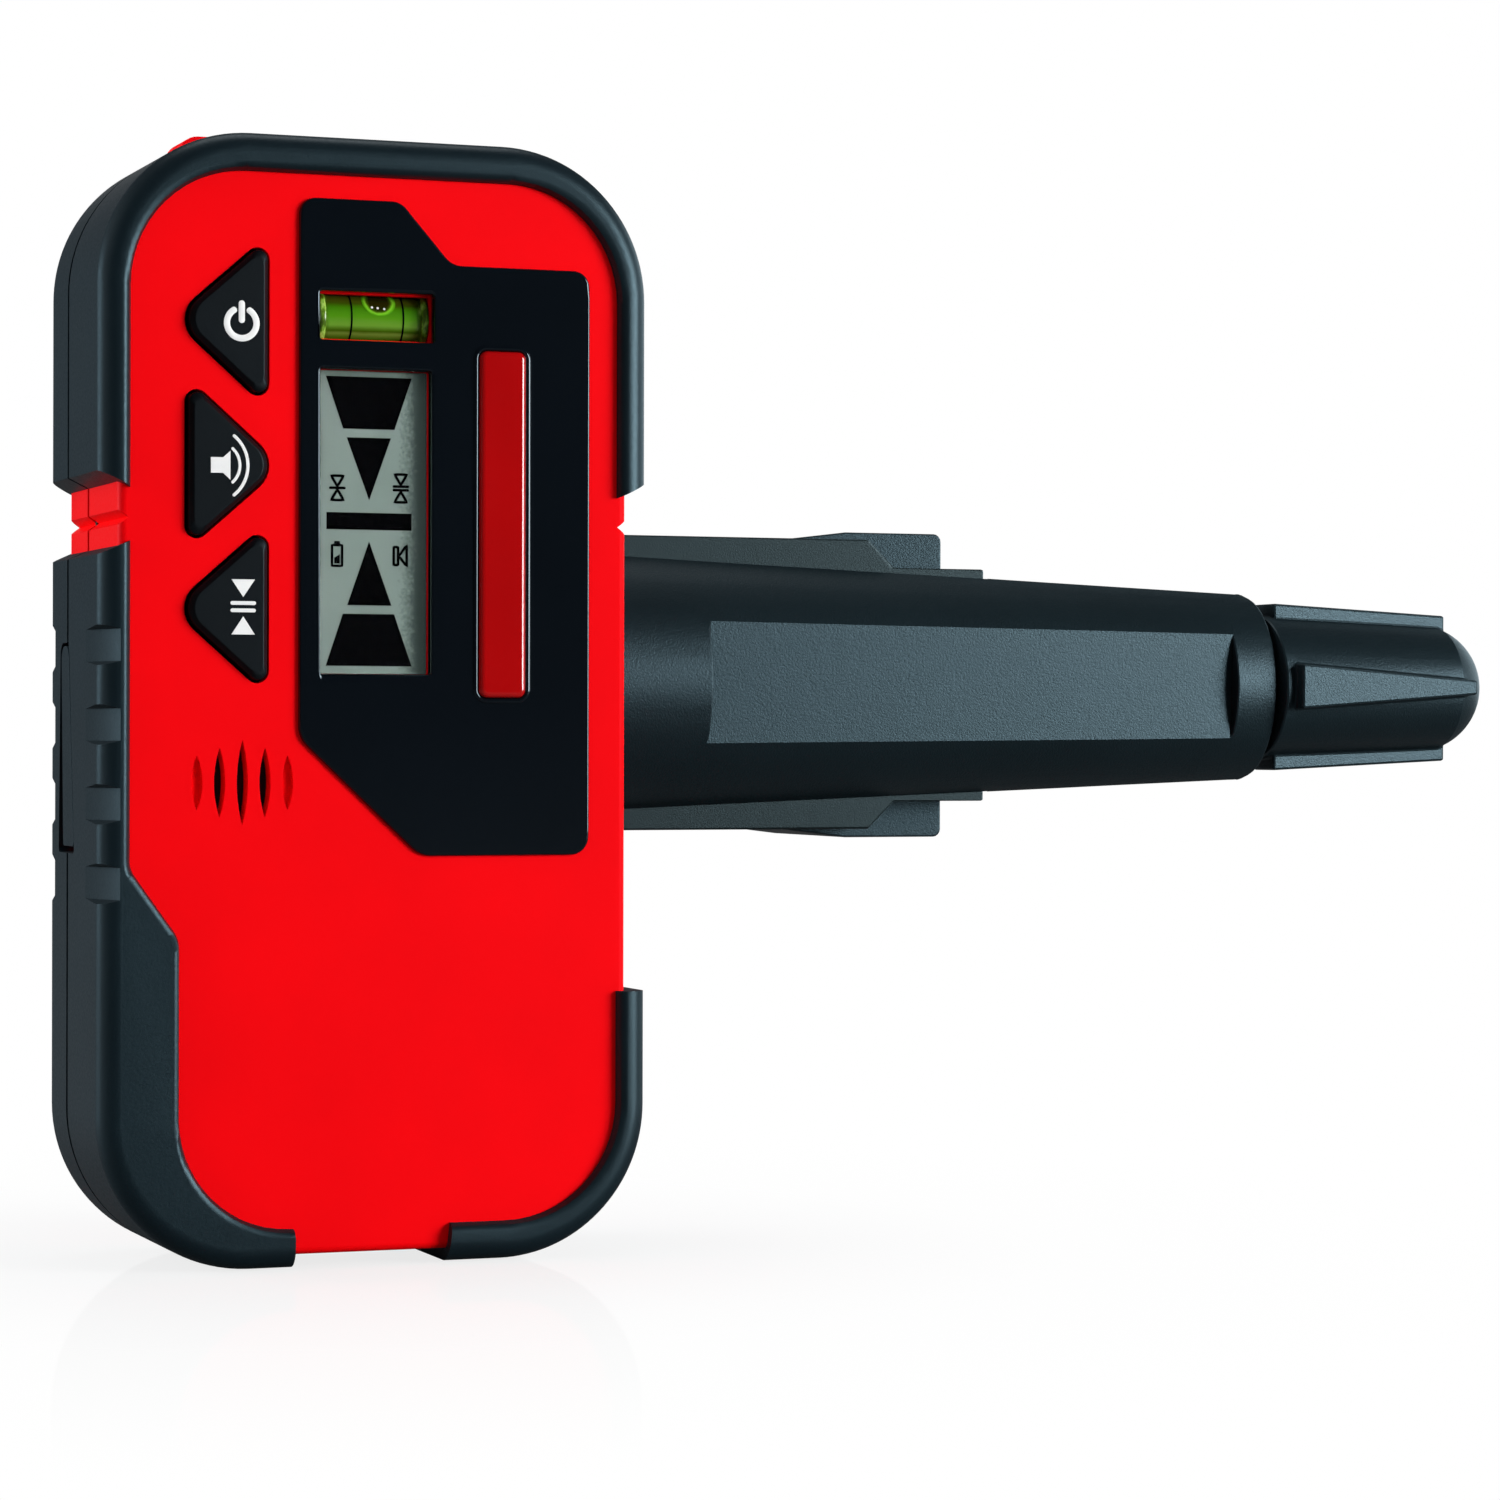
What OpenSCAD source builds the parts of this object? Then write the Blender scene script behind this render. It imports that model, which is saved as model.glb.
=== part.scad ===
// Hand-held laser receiver with a sliding rod clamp. Sizes are in millimetres.
// +X is right, the front faces -Y, +Z is up. The origin is on the floor under the middle of the feet,
// and Y = 0 is the plane where the front and rear halves of the housing meet.

/* [Receiver body] */
// Room from the end of a battery cell to the outside of the bumpers
side_room = 9.25; // [9:0.25:11]
// Room from the level vial window to the top of the bumpers
top_room = 17.1; // [16.5:0.1:20]
// Depth from the parting plane to the front of the bumpers
front_d = 17; // [16.5:0.5:19]
// Depth from the parting plane to the back of the bumpers
rear_d = 10.5; // [10:0.5:12]
// Outer corner radius seen from the front
corner_r = 17; // [16:0.5:18]
// Wall thickness of the red shells
wall = 2; // [1.8:0.1:2.2]
// Rounding of the red shell edges
shell_edge = 0.9; // [0.6:0.1:1.1]
// Gap left at the parting plane by each half
part_gap = 0.4; // [0.3:0.05:0.5]

/* [Rubber bumpers] */
// Thickness on the sides and the top
bumper_t = 2.3; // [2.1:0.1:2.5]
// Thickness under the shell
foot_t = 1.4; // [1.2:0.1:2]
// Height of the rubber above the front face
front_lift = 1.4; // [1:0.1:1.6]
// Height of the rubber above the back face
rear_lift = 0.5; // [0.3:0.1:0.8]
// Width of the band seen from the front, on the sides
band_side = 3.5; // [3.2:0.1:4]
// Width of the band seen from the front, at the top and bottom
band_end = 4.3; // [4:0.1:5]
// Rounding of the outer edge
bumper_edge = 2.4; // [2:0.1:2.6]
// Width of the rounding along the inner edge
lip_w = 0.95; // [0.7:0.05:1]
// Number of grip recesses on the left side
grip_count = 4; // [3:1:5]
// Spacing of the grip recesses
grip_pitch = 8.65; // [8:0.05:9]

/* [Windows and keys] */
// Height of the on-grade reference line above the battery bay
grade_rise = 45.15; // [44:0.05:48]
// Black panel thickness
panel_t = 1.6; // [1.4:0.1:1.8]
// Depth of the seat that the panel lies in
panel_seat = 1; // [0.8:0.1:1.1]
// Width of the display window
lcd_w = 12.7; // [12:0.1:13]
// Height of the display window
lcd_h = 33.8; // [32:0.1:34]
// Width of the red sensor window
sensor_w = 5.4; // [5:0.1:6.2]
// Height of the red sensor window
sensor_h = 38.8; // [36:0.1:40]
// Radius of the level vial
vial_r = 2.9; // [2.6:0.1:3]
// Width of a key from its flat side to its tip
key_w = 8.8; // [8.4:0.1:9]
// Spacing of the three keys
key_pitch = 15.8; // [15.7:0.1:16.2]
// Travel of a key
key_travel = 0.8; // [0.5:0.1:0.9]
// Clearance round a key
key_gap = 0.35; // [0.3:0.05:0.4]

/* [Power] */
// Height of the battery bay above the floor
bay_z0 = 15.15; // [14.5:0.05:16]
// Radius of a battery cell
cell_r = 5.15; // [5.1:0.05:5.2]
// Length of a battery cell
cell_l = 44.5; // [44:0.1:45]
// Spacing of the two cells
cell_pitch = 11; // [10.8:0.1:11.2]
// Radius of the battery door hinge pin
door_pin_r = 0.6; // [0.5:0.05:0.65]

/* [Rod clamp] */
// Height of the clamp axis above the lower case screws
clamp_rise = 18.6; // [18.2:0.1:19]
// Distance of the clamp axis behind the parting plane
clamp_y = 25; // [24.8:0.1:26]
// Half height of the barrel where it leaves the receiver
barrel_h0 = 16.1; // [15.5:0.1:16.5]
// Half height of the barrel at the knob end
barrel_h1 = 12.1; // [11.8:0.1:12.4]
// Barrel wall thickness
barrel_wall = 2; // [1.8:0.1:2.2]
// Length of the barrel
barrel_l = 97; // [96:0.5:102]
// Depth of the grip flat on the barrel
flat_d = 1.8; // [1.5:0.1:1.9]
// Radius of the clamp spindle
spindle_r = 3; // [2.8:0.1:3.2]
// Spindle travel for one turn
spindle_pitch = 4; // [3:0.5:4]
// Gap between the two jaw faces as seen in the photograph
jaw_gap = 50.6; // [48:0.1:52]
// Reach of the jaws behind the clamp frame
jaw_reach = 25; // [24:0.5:30]
// Greatest radius of the knob over its ribs
knob_r = 10.9; // [10.5:0.1:11.2]
// Knob length
knob_l = 32.7; // [31:0.1:34]

/* [Fits] */
// Clearance between sliding pieces
slide_gap = 0.35; // [0.3:0.05:0.4]
// Radial clearance of a turning pin
run_gap = 0.05; // [0.03:0.01:0.08]

/* [Hidden] */
$fn = 72;
cut = 0.5;
bay_z = bay_z0 + cell_r + 0.4 + cell_pitch / 2;
bay_z1 = bay_z + cell_pitch / 2 + cell_r + 0.4;
bay_hw = cell_l / 2 + 2.4;
grade_z = bay_z1 + grade_rise;
vial_w = 13.1;
vial_h = 5.4;
vial_z = grade_z + lcd_h / 2 + 3.2 + vial_h / 2;
body_h = vial_z + vial_h / 2 + top_room;
body_w = cell_l + 2 * side_room;
mid_z = body_h / 2;
half_w = body_w / 2;
shell_hw = half_w - bumper_t;
shell_hh = (body_h - bumper_t - foot_t) / 2;
shell_cz = foot_t + shell_hh;
shell_r = corner_r - bumper_t;
face_y = front_d - front_lift;
inner_y = face_y - wall;
back_y = rear_d - rear_lift;
inner_back = back_y - wall;
in_hw = shell_hw - wall;
in_hh = shell_hh - wall;
in_r = shell_r - wall;
open_hw = half_w - band_side;
open_z0 = band_end;
open_z1 = body_h - band_end;
open_r = corner_r - band_side - 0.5;
lip_d = front_lift * 0.75;
pad_x = -open_hw + 5.5;
pad_z1 = grade_z - 38.3;
pad_z0 = pad_z1 - 7.7;
panel_y = face_y - panel_seat + panel_t;
lcd_x = -0.4;
vial_x = -0.25;
panel_x0 = lcd_x - lcd_w / 2 - 2.35;
panel_x1 = shell_hw - 4.6;
panel_z0 = grade_z - 37.1;
panel_z1 = body_h - 6.9;
sensor_x = panel_x1 - 10.4;
key_x = -half_w + 14.3;
key_z = vial_z - 16.8;
key_tip_r = 2.8;
key_base_r = 1;
key_tilt = 41.4;
key_raw = key_w + key_tip_r * (1 / sin(key_tilt) - 1);
key_in = key_raw * sin(key_tilt) / (1 + sin(key_tilt));
key_front = face_y + 1.1;
key_crown = 0.5;
flange_y = inner_y - slide_gap;
flange_t = 0.9;
switch_y = flange_y - flange_t - key_travel - slide_gap;
slot_x = key_x + 1.8;
slot_z = grade_z - 28.9;
slot_step = 2.55;
slot_w = 1.25;
board_y = 9;
board_t = 1.6;
board_z0 = panel_z0 + 0.2;
board_z1 = body_h - 8;
stand_x = shell_hw - 4.6;
stand_z = [grade_z - 21.2, grade_z + 16.6];
screw_top = [shell_hw - 8.2, body_h - 11];
screw_mid = [shell_hw - 6, bay_z1 + 9.55];
clamp_z = screw_mid[1] + clamp_rise;
cell_y = inner_back - 0.7 - cell_r;
bay_y0 = cell_y - cell_r - 0.4;
tub_t = 1;
door_hw = bay_hw + 0.8;
knuckle_r = 1.2;
door_t = 1.7;
hinge_y = back_y - knuckle_r;
hinge_z = bay_z0 + knuckle_r + 0.5;
door_z1 = bay_z1 + 0.8;
lever_y = 1.6;
lever_z = grade_z - 15.6;
lever_r = 1.9;
lever_low = grade_z - 36.1;
lever_f = -3.2;
lever_b = 2.4;
lever_swing = 5;
lever_t = 1.4;
lever_pin_r = 0.8;
pocket_x = shell_hw - 0.8;
ridge_hw = shell_hw - 10.6;
rail_in = 9.3;
rail_mid = 12;
rail_out = 15;
lip_y0 = back_y + 3.3;
lip_y1 = back_y + 5.3;
rail_x0 = 8.2 - shell_hw;
rail_x1 = shell_hw - 0.7;
bow = 5.5;
barrel_x = half_w + 1.5;
barrel_end = barrel_x + barrel_l;
cone_r0 = sqrt(barrel_h0 * barrel_h0 + bow * bow);
cone_r1 = sqrt(barrel_h1 * barrel_h1 + bow * bow);
taper = atan((cone_r0 - cone_r1) / barrel_l);
crown_y = clamp_y + bow - cone_r0;
end_wall = 4.5;
flat_x0 = barrel_x + 18;
flat_x1 = barrel_end - 5.8;
frame_t = 5.5;
frame_b = clamp_y + frame_t;
frame_h = 18.3;
rail_h = 14.8;
frame_x1 = barrel_x + 46.5;
rail_end = barrel_x + 58.9;
jaw_h = 19.5;
jaw_x0 = barrel_x + 31.6;
jaw_x1 = jaw_x0 + 23.9;
fixed_x = jaw_x0 - jaw_gap;
jaw_y0 = frame_b + slide_gap;
jaw_y1 = frame_b + jaw_reach;
vee_y = frame_b + jaw_reach / 2;
vee_w = 8;
vee_d = 4.5;
pad_t = 1.5;
pad_inset = 3;
neck_x0 = jaw_x0 + 5.4;
neck_x1 = neck_x0 + 16;
barrel_screw_x = [barrel_x + 11, barrel_x + 33];
barrel_screw_z = barrel_h1 - 1.8;
neck_h = 6.1;
nut_r = spindle_r + 1.3;
slot_x0 = barrel_x + 5.4;
thread_x0 = slot_x0 + 1.4;
thread_n = floor((neck_x1 + 4 - thread_x0) / spindle_pitch);
thread_x1 = thread_x0 + thread_n * spindle_pitch;
collar_r = spindle_r + 0.9;
knob_x = barrel_end + 0.6;
knob_core0 = knob_r - 1.5;
knob_core1 = knob_r - 2.9;

red = [0.85, 0.09, 0.08];
rubber = [0.2, 0.22, 0.24];
black = [0.05, 0.05, 0.06];
dark = [0.16, 0.18, 0.2];
steel = [0.7, 0.71, 0.73];
board_green = [0.05, 0.3, 0.16];

function unit(v) = v / norm(v);
function bend(a, b, c, r, n) = let(
    u = unit(a - b),
    w = unit(c - b),
    h = acos(u * w) / 2,
    m = b + unit(u + w) * r / sin(h),
    s = b + u * r / tan(h) - m,
    e = b + w * r / tan(h) - m,
    a0 = atan2(s[1], s[0]),
    d0 = atan2(e[1], e[0]) - a0,
    d = d0 > 180 ? d0 - 360 : d0 < -180 ? d0 + 360 : d0)
    [for (i = [0:n]) m + r * [cos(a0 + d * i / n), sin(a0 + d * i / n)]];
function rounded(p, r, n) = [for (i = [0:len(p) - 1])
    each bend(p[(i + len(p) - 1) % len(p)], p[i], p[(i + 1) % len(p)], r[i], n)];

// Flat outline in X and Z, made solid from ya to yb
module prism(ya, yb) {
    translate([0, yb, 0]) rotate([90, 0, 0]) linear_extrude(yb - ya) children();
}

// Flat outline in Y and Z, made solid from xa to xb
module side_prism(xa, xb) {
    translate([xa, 0, 0]) rotate([90, 0, 90]) linear_extrude(xb - xa) children();
}

// Round bar along Y
module bar_y(x, z, r, ya, yb) {
    translate([x, yb, z]) rotate([90, 0, 0]) cylinder(h = yb - ya, r = r);
}

// Round bar along X
module bar_x(y, z, r, xa, xb) {
    translate([xa, y, z]) rotate([0, 90, 0]) cylinder(h = xb - xa, r = r);
}

module box(x0, x1, y0, y1, z0, z1) {
    translate([x0, y0, z0]) cube([x1 - x0, y1 - y0, z1 - z0]);
}

module round_rect(hw, hh, r) {
    square([2 * (hw - r), 2 * hh], center = true);
    square([2 * hw, 2 * (hh - r)], center = true);
    for (sx = [-1, 1], sy = [-1, 1])
        translate([sx * (hw - r), sy * (hh - r)]) circle(r);
}

module rim(r, d, fl) {
    intersection() {
        square([r, d]);
        union() {
            square([r, d - fl]);
            square([r - fl, d]);
            translate([r - fl, d - fl]) circle(fl);
        }
    }
}

// Rounded plate whose far edge has a true fillet; grows along its own Z
module slab(hw, hh, r, d, fl) {
    ix = hw - r;
    iy = hh - r;
    translate([-ix, -iy, 0]) cube([2 * ix, 2 * iy, d]);
    for (sx = [0, 1], sy = [0, 1])
        mirror([sx, 0, 0]) mirror([0, sy, 0]) translate([ix, iy, 0]) rotate_extrude(angle = 90) rim(r, d, fl);
    for (s = [0, 1]) {
        mirror([s, 0, 0]) translate([ix, iy, 0]) rotate([90, 0, 0]) linear_extrude(2 * iy) rim(r, d, fl);
        mirror([0, s, 0]) translate([-ix, iy, 0]) rotate([90, 0, 90]) linear_extrude(2 * ix) rim(r, d, fl);
    }
}

module front_slab(z, hw, hh, r, y, fl) {
    translate([0, -part_gap, z]) rotate([90, 0, 0]) slab(hw, hh, r, y - part_gap, fl);
}

module rear_slab(z, hw, hh, r, y, fl) {
    translate([0, part_gap, z]) mirror([0, 1, 0]) rotate([90, 0, 0]) slab(hw, hh, r, y - part_gap, fl);
}

module front_body() {
    front_slab(shell_cz, shell_hw, shell_hh, shell_r, face_y, shell_edge);
}

module rear_body() {
    rear_slab(shell_cz, shell_hw, shell_hh, shell_r, back_y, shell_edge);
}

module inside(inset) {
    translate([0, shell_cz]) round_rect(in_hw - inset, in_hh - inset, in_r - inset);
}

function open_pts(g) = rounded([
    [open_hw + g, open_z0 - g], [open_hw + g, open_z1 + g], [-open_hw - g, open_z1 + g],
    [-open_hw - g, pad_z1 - g / 2], [pad_x - g, pad_z0 - g / 2], [pad_x - g, open_z0 - g]],
    [open_r + g, open_r + g, open_r + g, 2.6, 3.4, 12.5 + g], 14);

function rear_pts() = rounded([
    [open_hw, open_z0], [open_hw, open_z1], [-open_hw, open_z1], [-open_hw, open_z0]],
    [open_r, open_r, open_r, open_r], 14);

function panel_pts() = rounded([
    [panel_x0, panel_z1], [lcd_x + 2.8, panel_z1], [lcd_x + 8.8, panel_z1 - 6.85], [panel_x1, panel_z1 - 6.85],
    [panel_x1, panel_z0], [lcd_x + 5.25, panel_z0], [panel_x0, panel_z0 + 13.15]],
    [1.8, 2.2, 2.6, 1.9, 2.1, 3.2, 3], 8);

function key_pts(way, z, g) = let(
    w = key_raw + g * (1 + 1 / sin(key_tilt)),
    x = key_x - way * (key_w / 2 + g),
    h = w * tan(key_tilt))
    rounded([[x + way * w, z], [x, z + h], [x, z - h]], [key_tip_r + g, key_base_r + g, key_base_r + g], 8);

// Regions that part the bumper ring into its pieces
module top_region() {
    polygon([[2.2 - shell_hw, grade_z + 2.8], [shell_hw - 2.2, grade_z + 2.8], [half_w + 9, grade_z + 9.5],
        [half_w + 9, body_h + 9], [-half_w - 9, body_h + 9], [-half_w - 9, grade_z + 9.5]]);
}

module left_region() {
    polygon([[2.2 - shell_hw, grade_z - 2.1], [9.2 - shell_hw, grade_z - 2.1], [21.9 - half_w, 20],
        [21.9 - half_w, -9], [-half_w - 9, -9], [-half_w - 9, grade_z - 8]]);
}

module right_region() {
    polygon([[half_w - 24.5, -9], [half_w - 22.9, 6], [half_w - 22.9, grade_z - 52.6], [half_w + 9, grade_z - 52.6],
        [half_w + 9, -9]]);
}

// Opening that widens from margin ga at depth da to margin gb at depth db behind the front of the rubber
module flare(ga, da, gb, db) {
    wide = (open_hw + gb) / (open_hw + ga);
    tall = (mid_z - open_z0 + gb) / (mid_z - open_z0 + ga);
    translate([0, da - front_d, mid_z]) rotate([90, 0, 0])
        linear_extrude(da - db, scale = [wide, tall], slices = 1, $fn = 0)
        translate([0, -mid_z]) polygon(open_pts(ga));
}

module front_ring() {
    difference() {
        front_slab(mid_z, half_w, mid_z, corner_r, front_d, bumper_edge);
        front_body();
        prism(-front_d - 1, 1) polygon(open_pts(0));
        flare(-0.05, lip_d + 0.1, lip_w * 0.35, lip_d * 0.35);
        flare(lip_w * 0.35 - 0.05, lip_d * 0.35 + 0.03, lip_w + lip_w * 0.37, -lip_d * 0.2);
    }
}

module rear_ring() {
    difference() {
        rear_slab(mid_z, half_w, mid_z, corner_r, rear_d, bumper_edge);
        rear_body();
        prism(-1, rear_d + 1) polygon(rear_pts());
    }
}

// Flat cut across the rounded edge, its ends sloping outwards; local X points out of the rubber
module grip_cut(x, y, turn, half, flare) {
    translate([x, y, 0]) rotate([0, 0, turn]) translate([0, 6, 0]) rotate([90, 0, 0]) linear_extrude(12)
        polygon([[0, -half], [3, -half - 3 * flare], [3, half + 3 * flare], [0, half]]);
}

module grip_cuts() {
    for (i = [0:grip_count - 1]) translate([0, 0, grade_z - 13.9 - i * grip_pitch]) {
        grip_cut(-half_w + 1.1, -front_d + 3.75, 196.9, 1.75, 0.29);
        grip_cut(-half_w + 0.6, rear_d - 1.9, 161.6, 2, 1.3);
    }
}

function lever_pts(g, swing, drop) = rounded([
    [lever_y - lever_r - g, lever_z + lever_r + g], [lever_y + lever_r + g, lever_z + lever_r + g],
    [lever_b + swing + g, lever_low - drop - g], [lever_f - g, lever_low - drop - g]],
    [lever_r * 0.8, lever_r * 0.8, 0.5, 0.5], 5);

module lever_pocket() {
    side_prism(-half_w - 1, -pocket_x)
        polygon(lever_pts(slide_gap, (lever_z - lever_low) * sin(lever_swing) + 0.2,
            (lever_y - lever_f) * sin(lever_swing)));
}

module grade_notches() {
    for (s = [-1, 1])
        prism(-front_d, rear_d) polygon([[s * (shell_hw - 1.1), grade_z], [s * (shell_hw + 0.55), grade_z + 1.2],
            [s * (shell_hw + 0.55), grade_z - 1.2]]);
}

module lens_slot(l) {
    big = (l * l + slot_w * slot_w) / (4 * slot_w);
    intersection() {
        translate([big - slot_w / 2, 0]) circle(big, $fn = 160);
        translate([slot_w / 2 - big, 0]) circle(big, $fn = 160);
    }
}

module speaker_slot(i) {
    translate([slot_x + i * slot_step, slot_z]) lens_slot(9.4 - 1.7 * abs(i));
}

module case_screw_places() {
    for (s = [-1, 1], p = [screw_top, screw_mid])
        translate([s * p[0], 0, p[1]]) children();
}

module stand_places() {
    for (s = [-1, 1], z = stand_z)
        translate([s * stand_x, 0, z]) children();
}

module window(x, z, w, h) {
    translate([x - w / 2, z - h / 2]) square([w, h]);
}

module front_shell() {
    color(red) difference() {
        union() {
            difference() {
                front_body();
                prism(-inner_y, cut) inside(0);
            }
            case_screw_places() bar_y(0, 0, 3.2, -inner_y - cut, -part_gap);
            stand_places() bar_y(0, 0, 2.2, -inner_y - cut, -board_y);
        }
        prism(-front_d, -face_y + panel_seat) polygon(panel_pts());
        prism(-front_d, -inner_y + cut) {
            window(lcd_x, grade_z, lcd_w, lcd_h);
            window(vial_x, vial_z, vial_w - 0.4, vial_h - 0.4);
            window(sensor_x, grade_z, sensor_w, sensor_h);
            polygon(key_pts(-1, key_z + key_pitch, key_gap));
            polygon(key_pts(1, key_z, key_gap));
            polygon(key_pts(-1, key_z - key_pitch, key_gap));
            for (i = [-1:1])
                speaker_slot(i);
        }
        prism(-front_d, -face_y + 0.8)
            for (i = [-2, 2])
                speaker_slot(i);
        case_screw_places() bar_y(0, 0, 1.25, -9, 0);
        stand_places() bar_y(0, 0, 0.8, -board_y - 2.5, 0);
        grade_notches();
        lever_pocket();
    }
}

module dovetail_rails() {
    for (s = [-1, 1]) translate([0, 0, clamp_z]) mirror([0, 0, s > 0 ? 0 : 1]) {
        box(rail_x0, rail_x1, back_y - 0.2, lip_y1, rail_mid, rail_out);
        box(rail_x0, rail_x1, lip_y0, lip_y1, rail_in, rail_mid + 0.1);
    }
    box(rail_x0 - 2, rail_x0, back_y - 0.2, lip_y1, clamp_z - rail_out, clamp_z + rail_out);
}

module rear_shell() {
    color(red) difference() {
        union() {
            difference() {
                rear_body();
                prism(-cut, inner_back) inside(0);
            }
            prism(1.6, back_y - 1.4) polygon(rounded([[-ridge_hw, body_h - 3.6], [ridge_hw, body_h - 3.6],
                [ridge_hw, body_h + 1.7], [-ridge_hw, body_h + 1.7]], [0.3, 0.3, 2.2, 2.2], 8));
            case_screw_places() bar_y(0, 0, 3.4, part_gap, inner_back + cut);
            intersection() {
                box(-bay_hw - tub_t, bay_hw + tub_t, bay_y0 - tub_t, back_y - 1, bay_z0 - tub_t, bay_z1 + tub_t);
                prism(-inner_y, back_y) inside(0.2);
            }
            dovetail_rails();
        }
        box(-bay_hw, bay_hw, bay_y0, back_y + 1, bay_z0, bay_z1);
        box(-door_hw - 0.4, door_hw + 0.4, inner_back, back_y + 1, bay_z0, door_z1 + 0.4);
        bar_x(hinge_y, hinge_z, knuckle_r + 0.3, -door_hw - 0.4, door_hw + 0.4);
        bar_x(hinge_y, hinge_z, door_pin_r, -door_hw - 1.8, door_hw + 1.8);
        case_screw_places() bar_y(0, 0, 1.45, 0, back_y + 1);
        case_screw_places() bar_y(0, 0, 2.6, inner_back - 0.3, back_y + 1);
        bar_x(lever_y, lever_z, lever_pin_r, -half_w, -in_hw + cut);
        grade_notches();
        lever_pocket();
    }
}

module shell_seal() {
    color(black) prism(-part_gap, part_gap) difference() {
        translate([0, shell_cz]) round_rect(shell_hw - 0.9, shell_hh - 0.9, shell_r - 0.9);
        inside(0);
        for (s = [-1, 1], p = [screw_top, screw_mid])
            translate([s * p[0], p[1]]) circle(3.2);
    }
}

module front_bumper_top() {
    color(rubber) intersection() {
        front_ring();
        prism(-front_d - 1, 1) top_region();
    }
}

module front_bumper_left() {
    color(rubber) difference() {
        intersection() {
            front_ring();
            prism(-front_d - 1, 1) left_region();
        }
        grip_cuts();
        lever_pocket();
    }
}

module front_bumper_right() {
    color(rubber) intersection() {
        front_ring();
        prism(-front_d - 1, 1) right_region();
    }
}

module rear_corner(side) {
    intersection() {
        rear_ring();
        prism(-1, rear_d + 1) intersection() {
            top_region();
            translate([side > 0 ? ridge_hw + 0.2 : -half_w - 9, 0]) square([half_w + 8.8 - ridge_hw, body_h + 9]);
        }
    }
}

module rear_bumper_top_left() {
    color(rubber) rear_corner(-1);
}

module rear_bumper_top_right() {
    color(rubber) rear_corner(1);
}

module rear_bumper_left() {
    color(rubber) difference() {
        intersection() {
            rear_ring();
            prism(-1, rear_d + 1) left_region();
        }
        grip_cuts();
        lever_pocket();
    }
}

module rear_bumper_right() {
    color(rubber) intersection() {
        rear_ring();
        prism(-1, rear_d + 1) right_region();
    }
}

module lens_panel() {
    color(black) prism(-panel_y, -face_y + panel_seat) difference() {
        polygon(panel_pts());
        window(lcd_x, grade_z, lcd_w, lcd_h);
        window(vial_x, vial_z, vial_w, vial_h);
        window(sensor_x, grade_z, sensor_w, sensor_h);
    }
}

module display_window() {
    color([0.75, 0.8, 0.78]) prism(-panel_y, -panel_y + 1) window(lcd_x, grade_z, lcd_w, lcd_h);
}

module lcd_module() {
    color([0.6, 0.64, 0.62]) {
        prism(-inner_y, -board_y) window(lcd_x, grade_z, lcd_w + 2.4, lcd_h + 2.4);
        prism(-face_y + panel_seat + 0.15, -inner_y) window(lcd_x, grade_z, lcd_w - 0.2, lcd_h - 0.2);
    }
}

module sensor_window() {
    color([0.5, 0.03, 0.04]) {
        translate([sensor_x, -inner_y, grade_z]) rotate([90, 0, 0])
            slab(sensor_w / 2, sensor_h / 2, 0.9, panel_y + 0.7 - inner_y, 0.6);
        prism(-inner_y, -inner_y + 1) window(sensor_x, grade_z, sensor_w + 2, sensor_h + 2);
    }
}

module level_vial() {
    color([0.6, 0.8, 0.1]) bar_x(-inner_y + vial_r - 0.7, vial_z, vial_r, vial_x - vial_w / 2 + 0.35,
        vial_x + vial_w / 2 - 0.35);
}

module main_board() {
    color(board_green) difference() {
        prism(-board_y, -board_y + board_t) difference() {
            intersection() {
                inside(0.6);
                translate([-half_w, board_z0]) square([body_w, board_z1 - board_z0]);
            }
            window(vial_x, vial_z, vial_w + 3, 2 * vial_r + 1);
            for (s = [-1, 1]) {
                window(s * (screw_top[0] + 4), screw_top[1] + 4, 15.2, 15.2);
                window(s * (screw_mid[0] + 4), screw_mid[1] - 4, 15.2, 15.2);
                for (z = stand_z)
                    translate([s * stand_x, z]) circle(0.8);
            }
        }
    }
}

module diode_strip() {
    color(board_green) prism(-board_y - 1, -board_y) window(sensor_x, grade_z, sensor_w - 0.4, sensor_h - 1);
}

module photodiodes() {
    color(black) for (i = [-3:3])
        prism(-board_y - 2.2, -board_y - 1) window(sensor_x, grade_z + i * sensor_h / 7.6, 3.6, 4.2);
}

module key_switches() {
    color(black) for (i = [-1:1])
        prism(-switch_y, -board_y) window(key_x, key_z + i * key_pitch, 5, 5);
}

module buzzer() {
    color(dark) bar_y(slot_x, slot_z, 6.6, -inner_y + 0.8, -board_y);
}

module board_screws() {
    color(steel) stand_places() {
        bar_y(0, 0, 0.8, -board_y - 2.5, -board_y + board_t);
        bar_y(0, 0, 1.7, -board_y + board_t, -board_y + board_t + 1.2);
    }
}

module case_screws() {
    color(steel) case_screw_places() difference() {
        union() {
            bar_y(0, 0, 1.25, -8, inner_back);
            bar_y(0, 0, 2.3, inner_back - 0.3, back_y - 0.4);
        }
        box(-1.6, 1.6, back_y - 1, back_y, -0.3, 0.3);
        box(-0.3, 0.3, back_y - 1, back_y, -1.6, 1.6);
    }
}

module key(way, z) {
    middle = key_x - way * (key_w / 2 - key_in);
    prism(key_crown - key_front, -flange_y) polygon(key_pts(way, z, 0));
    translate([middle, key_crown - key_front, z]) rotate([90, 0, 0])
        linear_extrude(key_crown, scale = 1 - key_crown / key_in, slices = 1, $fn = 0)
        translate([-middle, -z]) polygon(key_pts(way, z, 0));
    prism(-flange_y, -flange_y + flange_t) polygon(key_pts(way, z, 0.7));
}

module power_key() {
    color(black) key(-1, key_z + key_pitch);
}

module sound_key() {
    color(black) key(1, key_z);
}

module mode_key() {
    color(black) key(-1, key_z - key_pitch);
}

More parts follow.
